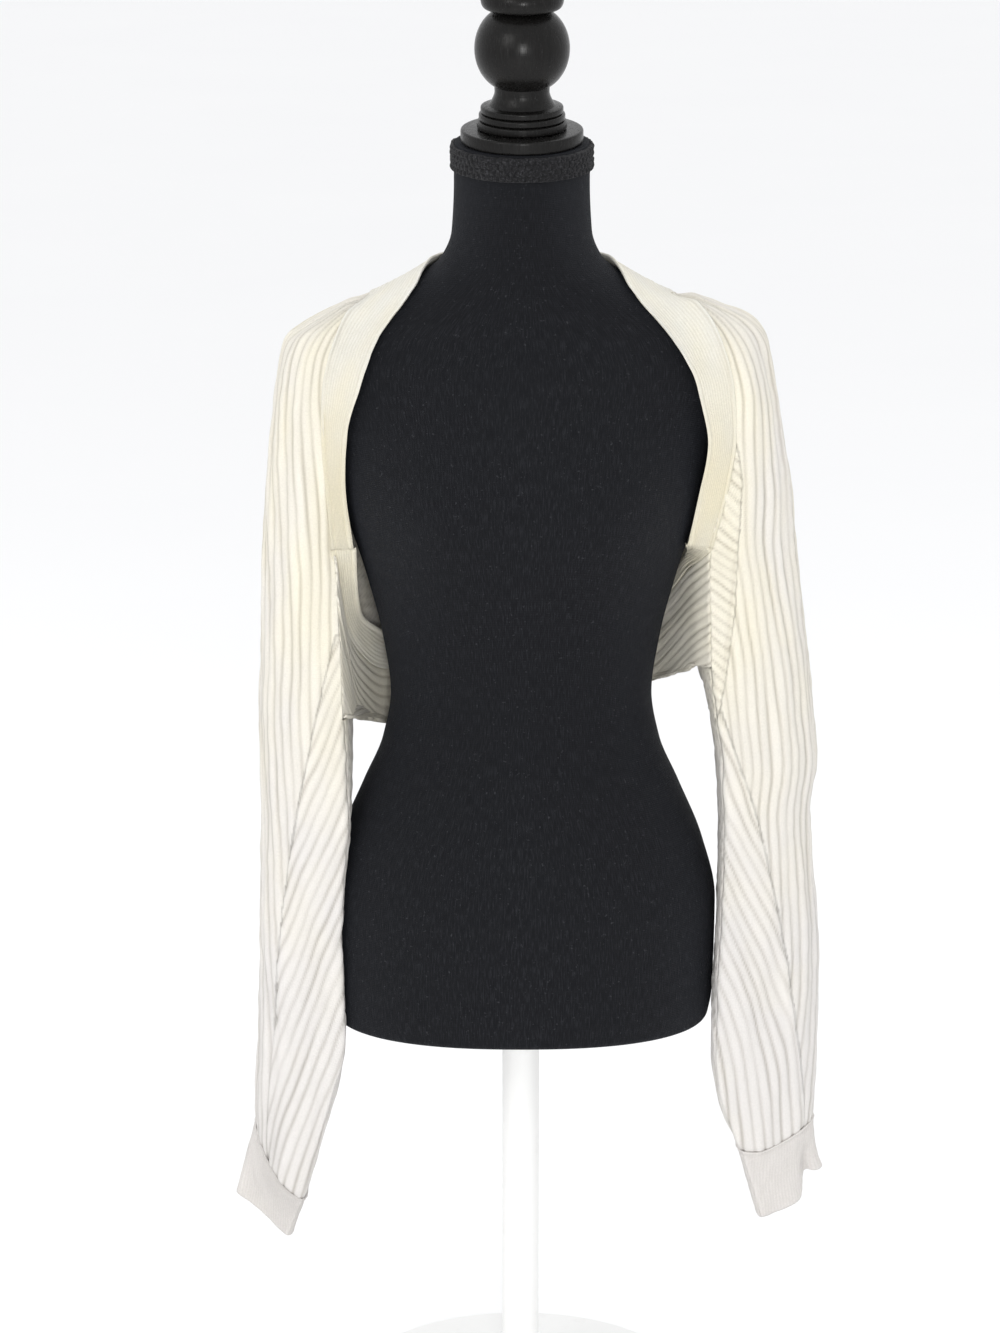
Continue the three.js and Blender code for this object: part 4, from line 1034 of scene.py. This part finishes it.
# ---- materials ----------------------------------------------------------------------------------
def node_group(name, inputs, outputs):
    """A node group with named sockets: name, type and value of each input, name and type of outputs."""
    group = bpy.data.node_groups.new(name, "ShaderNodeTree")
    for label, kind, value in inputs:
        socket = group.interface.new_socket(label, in_out="INPUT", socket_type=kind)
        if value is not None:
            socket.default_value = value
    for label, kind in outputs:
        group.interface.new_socket(label, in_out="OUTPUT", socket_type=kind)
    return group, group.nodes.new("NodeGroupInput"), group.nodes.new("NodeGroupOutput")


def plug(tree, value, socket):
    if isinstance(value, bpy.types.NodeSocket):
        tree.links.new(value, socket)
    else:
        socket.default_value = value


def maths(tree, operation, *values):
    node = tree.nodes.new("ShaderNodeMath")
    node.operation = operation
    for socket, value in zip(node.inputs, values):
        plug(tree, value, socket)
    return node.outputs[0]


def mixed(tree, factor, a, b, blend="MIX"):
    node = tree.nodes.new("ShaderNodeMix")
    node.data_type = "RGBA"
    node.blend_type = blend
    plug(tree, factor, node.inputs["Factor"])
    plug(tree, a, node.inputs["A"])
    plug(tree, b, node.inputs["B"])
    return [socket for socket in node.outputs if socket.type == "RGBA"][0]


def noise(tree, vector, scale, detail=3.0, rough=0.55, stretch=None):
    if stretch:
        mapping = tree.nodes.new("ShaderNodeMapping")
        mapping.inputs["Scale"].default_value = stretch
        tree.links.new(vector, mapping.inputs["Vector"])
        vector = mapping.outputs[0]
    node = tree.nodes.new("ShaderNodeTexNoise")
    tree.links.new(vector, node.inputs["Vector"])
    node.inputs["Scale"].default_value = scale
    node.inputs["Detail"].default_value = detail
    node.inputs["Roughness"].default_value = rough
    return node.outputs[0]


def remap(tree, value, low, high, to_low, to_high):
    node = tree.nodes.new("ShaderNodeMapRange")
    tree.links.new(value, node.inputs["Value"])
    for label, number in (("From Min", low), ("From Max", high), ("To Min", to_low), ("To Max", to_high)):
        node.inputs[label].default_value = number
    return node.outputs[0]


def bump(tree, height, distance, strength, normal=None):
    node = tree.nodes.new("ShaderNodeBump")
    node.inputs["Distance"].default_value = distance
    node.inputs["Strength"].default_value = strength
    tree.links.new(height, node.inputs["Height"])
    if normal is not None:
        tree.links.new(normal, node.inputs["Normal"])
    return node.outputs[0]


def attribute(tree, name):
    node = tree.nodes.new("ShaderNodeAttribute")
    node.attribute_name = name
    return node.outputs["Fac"]


def knit_uv(tree):
    node = tree.nodes.new("ShaderNodeUVMap")
    node.uv_map = "Knit"
    return node.outputs[0]


def object_place(tree):
    return tree.nodes.new("ShaderNodeTexCoord").outputs["Object"]


def new_material(name, roughness, **settings):
    """A material with its Principled shader; settings are constants on the shader's sockets."""
    material = bpy.data.materials.new(name)
    material.use_nodes = True
    shader = material.node_tree.nodes["Principled BSDF"]
    shader.inputs["Roughness"].default_value = roughness
    for label, value in settings.items():
        shader.inputs[label.replace("_", " ")].default_value = value
    return material, material.node_tree, shader


def wire(tree, shader, colour, normal=None, roughness=None):
    """Joins what changes over the surface to the shader."""
    for label, value in (("Base Color", colour), ("Normal", normal), ("Roughness", roughness)):
        if value is not None:
            tree.links.new(value, shader.inputs[label])


def stitch_group():
    """Knit stitches: columns of small Vs, and how far each place lies in a gap between them, which sets
    painted shade. Width and height are of one stitch, in metres.
    """
    group, start, end = node_group(
        "Knit stitches",
        (
            ("Place", "NodeSocketVector", None),
            ("Stitch width", "NodeSocketFloat", 0.0016),
            ("Stitch height", "NodeSocketFloat", 0.0013),
        ),
        (("Height", "NodeSocketFloat"), ("Gap shade", "NodeSocketFloat")),
    )
    split = group.nodes.new("ShaderNodeSeparateXYZ")
    group.links.new(start.outputs["Place"], split.inputs[0])
    wale = maths(group, "DIVIDE", split.outputs[0], start.outputs["Stitch width"])
    course = maths(group, "DIVIDE", split.outputs[1], start.outputs["Stitch height"])
    side = maths(group, "ABSOLUTE", maths(group, "SUBTRACT", maths(group, "FRACT", wale), 0.5))
    leg = maths(group, "SINE", maths(group, "MULTIPLY", side, 2 * math.pi))
    leg = maths(group, "POWER", maths(group, "MAXIMUM", leg, 0.0), 0.6)
    slant = maths(group, "ADD", course, maths(group, "MULTIPLY", side, 1.3))
    loop = maths(group, "COSINE", maths(group, "MULTIPLY", slant, 2 * math.pi))
    loop = maths(group, "MULTIPLY_ADD", loop, 0.3, 0.7)
    height = maths(group, "MULTIPLY", leg, loop)
    group.links.new(height, end.inputs["Height"])
    # The gap output darkens the wool colour as painted shade between stitches.
    group.links.new(maths(group, "SUBTRACT", 1.0, height), end.inputs["Gap shade"])
    return group


def wool_group():
    """Wool colour: warmer or cooler by `Warm`, slightly mottled, and greyer with painted shade in rib
    grooves and stitch gaps.
    """
    group, start, end = node_group(
        "Wool colour",
        (
            ("Place", "NodeSocketVector", None),
            ("Warm", "NodeSocketFloat", 0.5),
            ("Groove", "NodeSocketFloat", 0.0),
            ("Gap shade", "NodeSocketFloat", 0.0),
            ("Cool colour", "NodeSocketColor", (0.8, 0.8, 0.8, 1)),
            ("Warm colour", "NodeSocketColor", (0.8, 0.8, 0.8, 1)),
            ("Groove shade colour", "NodeSocketColor", (0.6, 0.6, 0.6, 1)),
        ),
        (("Colour", "NodeSocketColor"), ("Fuzz", "NodeSocketFloat")),
    )
    place = start.outputs["Place"]
    patch = noise(group, place, 14.0, 3.0)
    warm = maths(group, "ADD", start.outputs["Warm"], remap(group, patch, 0.3, 0.7, -0.16, 0.16))
    clamp = group.nodes.new("ShaderNodeClamp")
    group.links.new(warm, clamp.inputs["Value"])
    colour = mixed(group, clamp.outputs[0], start.outputs["Cool colour"], start.outputs["Warm colour"])
    fleck = noise(group, place, 900.0, 2.0)
    shade = remap(group, fleck, 0.3, 0.7, 0.94, 1.04)
    combine = group.nodes.new("ShaderNodeCombineColor")
    for socket in combine.inputs:
        group.links.new(shade, socket)
    colour = mixed(group, 1.0, colour, combine.outputs[0], "MULTIPLY")
    # Painted shade: the colour is multiplied towards the groove shade colour in rib grooves and, a little,
    # in the gaps between stitches.
    painted_shade = maths(group, "MULTIPLY", start.outputs["Groove"], 0.75)
    painted_shade = maths(group, "ADD", painted_shade, maths(group, "MULTIPLY", start.outputs["Gap shade"], 0.10))
    painted_shade = maths(group, "MINIMUM", painted_shade, 0.9)
    shaded_colour = mixed(group, 1.0, colour, start.outputs["Groove shade colour"], "MULTIPLY")
    colour = mixed(group, painted_shade, colour, shaded_colour)
    group.links.new(colour, end.inputs["Colour"])
    group.links.new(noise(group, place, 2600.0, 2.0), end.inputs["Fuzz"])
    return group


STITCHES = stitch_group()
WOOL = wool_group()


def stitch_node(tree, width, height):
    """Stitches of this width and height, in metres, laid along a piece's Knit map."""
    node = tree.nodes.new("ShaderNodeGroup")
    node.node_tree = STITCHES
    tree.links.new(knit_uv(tree), node.inputs["Place"])
    node.inputs["Stitch width"].default_value = width
    node.inputs["Stitch height"].default_value = height
    return node


def wool(name, cool, warm, groove, stitch, relief):
    """A matte wool knit: its colours, the darker one of them, `groove`, for painted shade in grooves and
    stitch gaps, its stitch size and how far its stitches stand out, in metres.
    """
    material, tree, shader = new_material(
        name, 0.88, Sheen_Weight=0.18, Sheen_Roughness=0.45, Specular_IOR_Level=0.22
    )
    stitches = stitch_node(tree, *stitch)
    colour = tree.nodes.new("ShaderNodeGroup")
    colour.node_tree = WOOL
    tree.links.new(object_place(tree), colour.inputs["Place"])
    tree.links.new(attribute(tree, "warm"), colour.inputs["Warm"])
    tree.links.new(attribute(tree, "groove"), colour.inputs["Groove"])
    tree.links.new(stitches.outputs["Gap shade"], colour.inputs["Gap shade"])
    colour.inputs["Cool colour"].default_value = (*cool, 1)
    colour.inputs["Warm colour"].default_value = (*warm, 1)
    colour.inputs["Groove shade colour"].default_value = (*groove, 1)
    fuzz = bump(tree, colour.outputs["Fuzz"], 0.00025, 0.5)
    normal = bump(tree, stitches.outputs["Height"], relief, 0.9, fuzz)
    wire(tree, shader, colour.outputs["Colour"], normal)
    return material


def jersey():
    """Black stretch jersey: fine wales, a few paler fibres and a soft bloom."""
    material, tree, shader = new_material(
        "Black jersey", 0.82, Sheen_Weight=0.03, Sheen_Roughness=0.35,
        Sheen_Tint=(0.7, 0.78, 1.0, 1), Specular_IOR_Level=0.2,
    )
    stitches = stitch_node(tree, 0.0015, 0.0016)
    streaks = noise(tree, knit_uv(tree), 1.0, 4.0, 0.7, (1300, 90, 1))
    heather = remap(tree, streaks, 0.5, 0.72, 0.0, 1.0)
    lint = remap(tree, noise(tree, object_place(tree), 420.0, 2.0), 0.66, 0.74, 0.0, 1.0)
    colour = mixed(tree, heather, (0.0030, 0.0035, 0.0052, 1), (0.0150, 0.0160, 0.0200, 1))
    colour = mixed(tree, maths(tree, "MULTIPLY", lint, 0.5), colour, (0.05, 0.052, 0.058, 1))
    grain = bump(tree, noise(tree, object_place(tree), 1500.0, 2.0), 0.0002, 0.5)
    normal = bump(tree, stitches.outputs["Height"], 0.0004, 0.8, grain)
    wire(tree, shader, colour, normal, remap(tree, streaks, 0.3, 0.7, 0.9, 0.72))
    return material


def braid():
    """Black braid of twisted yarn."""
    material, tree, shader = new_material(
        "Black braid", 0.7, Sheen_Weight=0.04, Sheen_Roughness=0.4, Specular_IOR_Level=0.25
    )
    twist = tree.nodes.new("ShaderNodeTexWave")
    twist.bands_direction = "DIAGONAL"
    tree.links.new(knit_uv(tree), twist.inputs["Vector"])
    twist.inputs["Scale"].default_value = 420.0
    twist.inputs["Distortion"].default_value = 1.5
    fibre = noise(tree, object_place(tree), 900.0, 3.0)
    pale = remap(tree, fibre, 0.52, 0.68, 0.0, 1.0)
    colour = mixed(tree, pale, (0.003, 0.003, 0.004, 1), (0.05, 0.05, 0.055, 1))
    normal = bump(tree, twist.outputs["Fac"], 0.0005, 0.8, bump(tree, fibre, 0.0004, 0.7))
    wire(tree, shader, colour, normal, remap(tree, fibre, 0.3, 0.7, 0.58, 0.82))
    return material


def black_wood():
    """Turned wood stained black, with upright grain, open pores and fine lathe rings."""
    material, tree, shader = new_material("Black stained wood", 0.3, Specular_IOR_Level=0.17)
    place = object_place(tree)
    grain = noise(tree, place, 1.0, 5.0, 0.65, (240, 240, 16))
    pores = remap(tree, noise(tree, place, 1.0, 3.0, 0.6, (900, 900, 40)), 0.58, 0.7, 0.0, 1.0)
    lathe = noise(tree, place, 1.0, 2.0, 0.5, (8, 8, 1400))
    colour = mixed(tree, grain, (0.003, 0.0028, 0.0028, 1), (0.009, 0.0085, 0.008, 1))
    colour = mixed(tree, maths(tree, "MULTIPLY", pores, 0.5), colour, (0.004, 0.004, 0.004, 1))
    rings = bump(tree, lathe, 0.00012, 0.5)
    cut = bump(tree, pores, -0.00025, 0.6, rings)
    normal = bump(tree, grain, 0.0002, 0.5, cut)
    wire(tree, shader, colour, normal, remap(tree, grain, 0.3, 0.7, 0.2, 0.34))
    return material


def white_paint():
    """Satin white paint on metal, with a slight orange peel and faint scuffs."""
    material, tree, shader = new_material("White satin paint", 0.38)
    place = object_place(tree)
    peel = noise(tree, place, 600.0, 2.0)
    scuff = remap(tree, noise(tree, place, 38.0, 6.0, 0.7), 0.55, 0.75, 0.0, 1.0)
    colour = mixed(tree, maths(tree, "MULTIPLY", scuff, 0.35), (0.82, 0.82, 0.81, 1), (0.7, 0.7, 0.685, 1))
    normal = bump(tree, peel, 0.0001, 0.35)
    wire(tree, shader, colour, normal, remap(tree, scuff, 0.0, 1.0, 0.34, 0.52))
    return material


def pale_floor():
    material, tree, shader = new_material("Pale floor", 0.9)
    shade = noise(tree, object_place(tree), 1.2, 3.0)
    wire(tree, shader, mixed(tree, shade, (0.93, 0.93, 0.935, 1), (0.95, 0.95, 0.95, 1)))
    return material


FINE_STITCH = (0.00135, 0.0013)
# Each groove colour is painted shade for the grooves between ribs and the gaps between stitches.
RIB_WOOL = wool(
    "Ivory rib knit", cool=(0.79, 0.765, 0.74), warm=(0.87, 0.825, 0.69), groove=(0.62, 0.60, 0.57),
    stitch=(0.00172, 0.0015), relief=0.0005,
)
BAND_WOOL = wool(
    "Cream fine rib band", cool=(0.80, 0.79, 0.745), warm=(0.86, 0.80, 0.62),
    groove=(0.72, 0.69, 0.62), stitch=FINE_STITCH, relief=0.0004,
)
CUFF_WOOL = wool(
    "Pale fine rib cuff", cool=(0.74, 0.71, 0.685), warm=(0.80, 0.77, 0.70),
    groove=(0.72, 0.70, 0.68), stitch=FINE_STITCH, relief=0.0004,
)
WOOD = black_wood()
PAINT = white_paint()


# ---- the pieces ---------------------------------------------------------------------------------
def add(obj, node, material):
    obj.data.materials.append(material)
    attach(obj, "root")
    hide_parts(node)
    return obj


body = add(form_body(), "form_body", jersey())
add(neck_braid(), "neck_trim", braid())
neck_middle = FORM_SECTIONS[-1][4]
neck_top = (0, neck_middle, LEVEL_LIFT + FORM_TOP + SEAT_GAP)
cap_edge = [(0, 0), (CAP_RADIUS, 0), (CAP_RADIUS, CAP_THICKNESS), (0, CAP_THICKNESS)]
add(turned("Cap_disc", rounded(cap_edge, 2.2), neck_top, CAP_LEAN), "cap_disc", WOOD)
rise = CAP_THICKNESS + SEAT_GAP
lean = math.radians(CAP_LEAN)
cap_top = (0, neck_top[1] - rise * math.sin(lean), neck_top[2] + rise * math.cos(lean))
add(turned("Finial", finial_profile(), cap_top, CAP_LEAN), "finial", WOOD)

pole_length = LEVEL_LIFT + FORM_BOTTOM - BASE_THICKNESS - 2 * SEAT_GAP
pole_outline = [
    (0, 0), (FOOT["radius"], 0), (FOOT["radius"], FOOT["height"]), (FOOT["collar"], FOOT["collar_height"]),
    (POLE_RADIUS, FOOT["top"]), (POLE_RADIUS, pole_length - 2 * FLANGE_THICKNESS),
    (FLANGE_RADIUS, pole_length - FLANGE_THICKNESS), (FLANGE_RADIUS, pole_length), (0, pole_length),
]
pole = turned("Stand_pole", rounded(pole_outline, 1.4), (0, 0, BASE_THICKNESS + SEAT_GAP))
add(pole, "stand_pole", PAINT)
base_outline = [
    (0, 0), (BASE_RADIUS, 0), (BASE_RADIUS, BASE_RIM),
    (BASE_RADIUS - BASE_SLOPE, BASE_THICKNESS), (0, BASE_THICKNESS),
]
base = turned("Stand_base", rounded(base_outline, 2.0), (0, 0, 0), sides=192)
add(base, "stand_base", PAINT)

right_sleeve = sleeve(
    "Right_sleeve", SLEEVE_RIGHT, RIGHT, first_open=8, spine=SPINE_RIGHT, gusset=None,
    folds=FOLDS_RIGHT, creases=CREASES_RIGHT, twist=0.06, dense=(60, 330, 1.15),
    dips=SEAM_DIP_RIGHT, seed=11,
)
left_sleeve = sleeve(
    "Left_sleeve", SLEEVE_LEFT, LEFT, first_open=9, spine=SPINE_LEFT, gusset=GUSSET_LEFT,
    folds=FOLDS_LEFT, creases=CREASES_LEFT, twist=0.0, dense=(255, 500, 1.7),
    dips=SEAM_DIP_LEFT, seed=21,
)
right_cuff = cuff("Right_cuff", CUFF_RIGHT, RIGHT, right_cuff_shape, SEAM_DIP_RIGHT, seed=41)
left_cuff = cuff("Left_cuff", CUFF_LEFT, LEFT, left_cuff_shape, SEAM_DIP_LEFT, seed=51)
back = back_panel()
neck_band = band("Neck_band", NECK_BAND_RIGHT, NECK_BAND_LEFT, row_count=290, side=1, seed=61)
hem_band = band("Hem_band", HEM_BAND_RIGHT, HEM_BAND_LEFT, row_count=200, side=-1, seed=66)

# piece, node, slot, material, flat size of its cut (width, length), cut area, how held, on what
CLOTH = (
    (right_sleeve, "sleeve_right", "rib_knit", RIB_WOOL, (0.32, 0.84), 0.190, "hung", (body,)),
    (left_sleeve, "sleeve_left", "rib_knit", RIB_WOOL, (0.32, 0.84), 0.190, "hung", (body,)),
    (back, "back_panel", "rib_knit", RIB_WOOL, (0.40, 0.56), 0.190, "draped", (body,)),
    (neck_band, "neck_band", "fine_rib_band", BAND_WOOL, (0.034, 0.92), None, "draped", (body,)),
    (hem_band, "hem_band", "fine_rib_band", BAND_WOOL, (0.034, 0.56), None, "draped", (body,)),
    (right_cuff, "cuff_right", "fine_rib_cuff", CUFF_WOOL, (0.165, 0.066), None, "hung", (right_sleeve,)),
    (left_cuff, "cuff_left", "fine_rib_cuff", CUFF_WOOL, (0.165, 0.066), None, "hung", (left_sleeve,)),
)
for piece, node, slot, material, flat, area, held, rests_on in CLOTH:
    add(piece, node, material)

# ---- stage --------------------------------------------------------------------------------------
floor_grid = bmesh.new()
bmesh.ops.create_grid(floor_grid, x_segments=2, y_segments=2, size=30)
floor = mesh_object("Floor", floor_grid)
floor.data.materials.append(pale_floor())

world = bpy.data.worlds.new("Studio")
bpy.context.scene.world = world
world.use_nodes = True
background = world.node_tree.nodes["Background"]
background.inputs["Color"].default_value = (0.985, 0.99, 1.0, 1)
background.inputs["Strength"].default_value = 1.0

# name, place, aim, width, power, colour
SOFTBOXES = (
    ("Key", (-1.9, -2.6, 2.5), (0, 0, 0.8), 1.5, 24, (1.0, 0.985, 0.96)),
    ("Front", (0.15, -3.3, 1.25), (0, 0, 0.62), 0.5, 32, (1.0, 0.995, 0.985)),
    ("Top", (0.2, 0.8, 3.0), (0, 0, 0.9), 1.6, 12, (1.0, 1.0, 1.0)),
)
for name, place, aim, width, power, colour in SOFTBOXES:
    light = bpy.data.lights.new(name, "AREA")
    light.shape = "SQUARE"
    light.size = width
    light.energy = power
    light.color = colour
    lamp = bpy.data.objects.new(name, light)
    lamp.location = place
    lamp.rotation_euler = (Vector(aim) - Vector(place)).to_track_quat("-Z", "Y").to_euler()
    bpy.context.scene.collection.objects.link(lamp)

CAMERA_DISTANCE = 3.6
CAMERA_PITCH = math.radians(14)
CAMERA_AIM = (-0.018, 0.0, 0.662)
lens = bpy.data.cameras.new("Front view")
lens.sensor_width = 36
lens.lens = 114.4
camera = bpy.data.objects.new("Front view", lens)
camera.location = (
    CAMERA_AIM[0],
    CAMERA_AIM[1] - CAMERA_DISTANCE * math.cos(CAMERA_PITCH),
    CAMERA_AIM[2] + CAMERA_DISTANCE * math.sin(CAMERA_PITCH),
)
camera.rotation_euler = (math.pi / 2 - CAMERA_PITCH, 0, 0)
bpy.context.scene.collection.objects.link(camera)
bpy.context.scene.camera = camera
bpy.context.scene.view_settings.view_transform = "Standard"
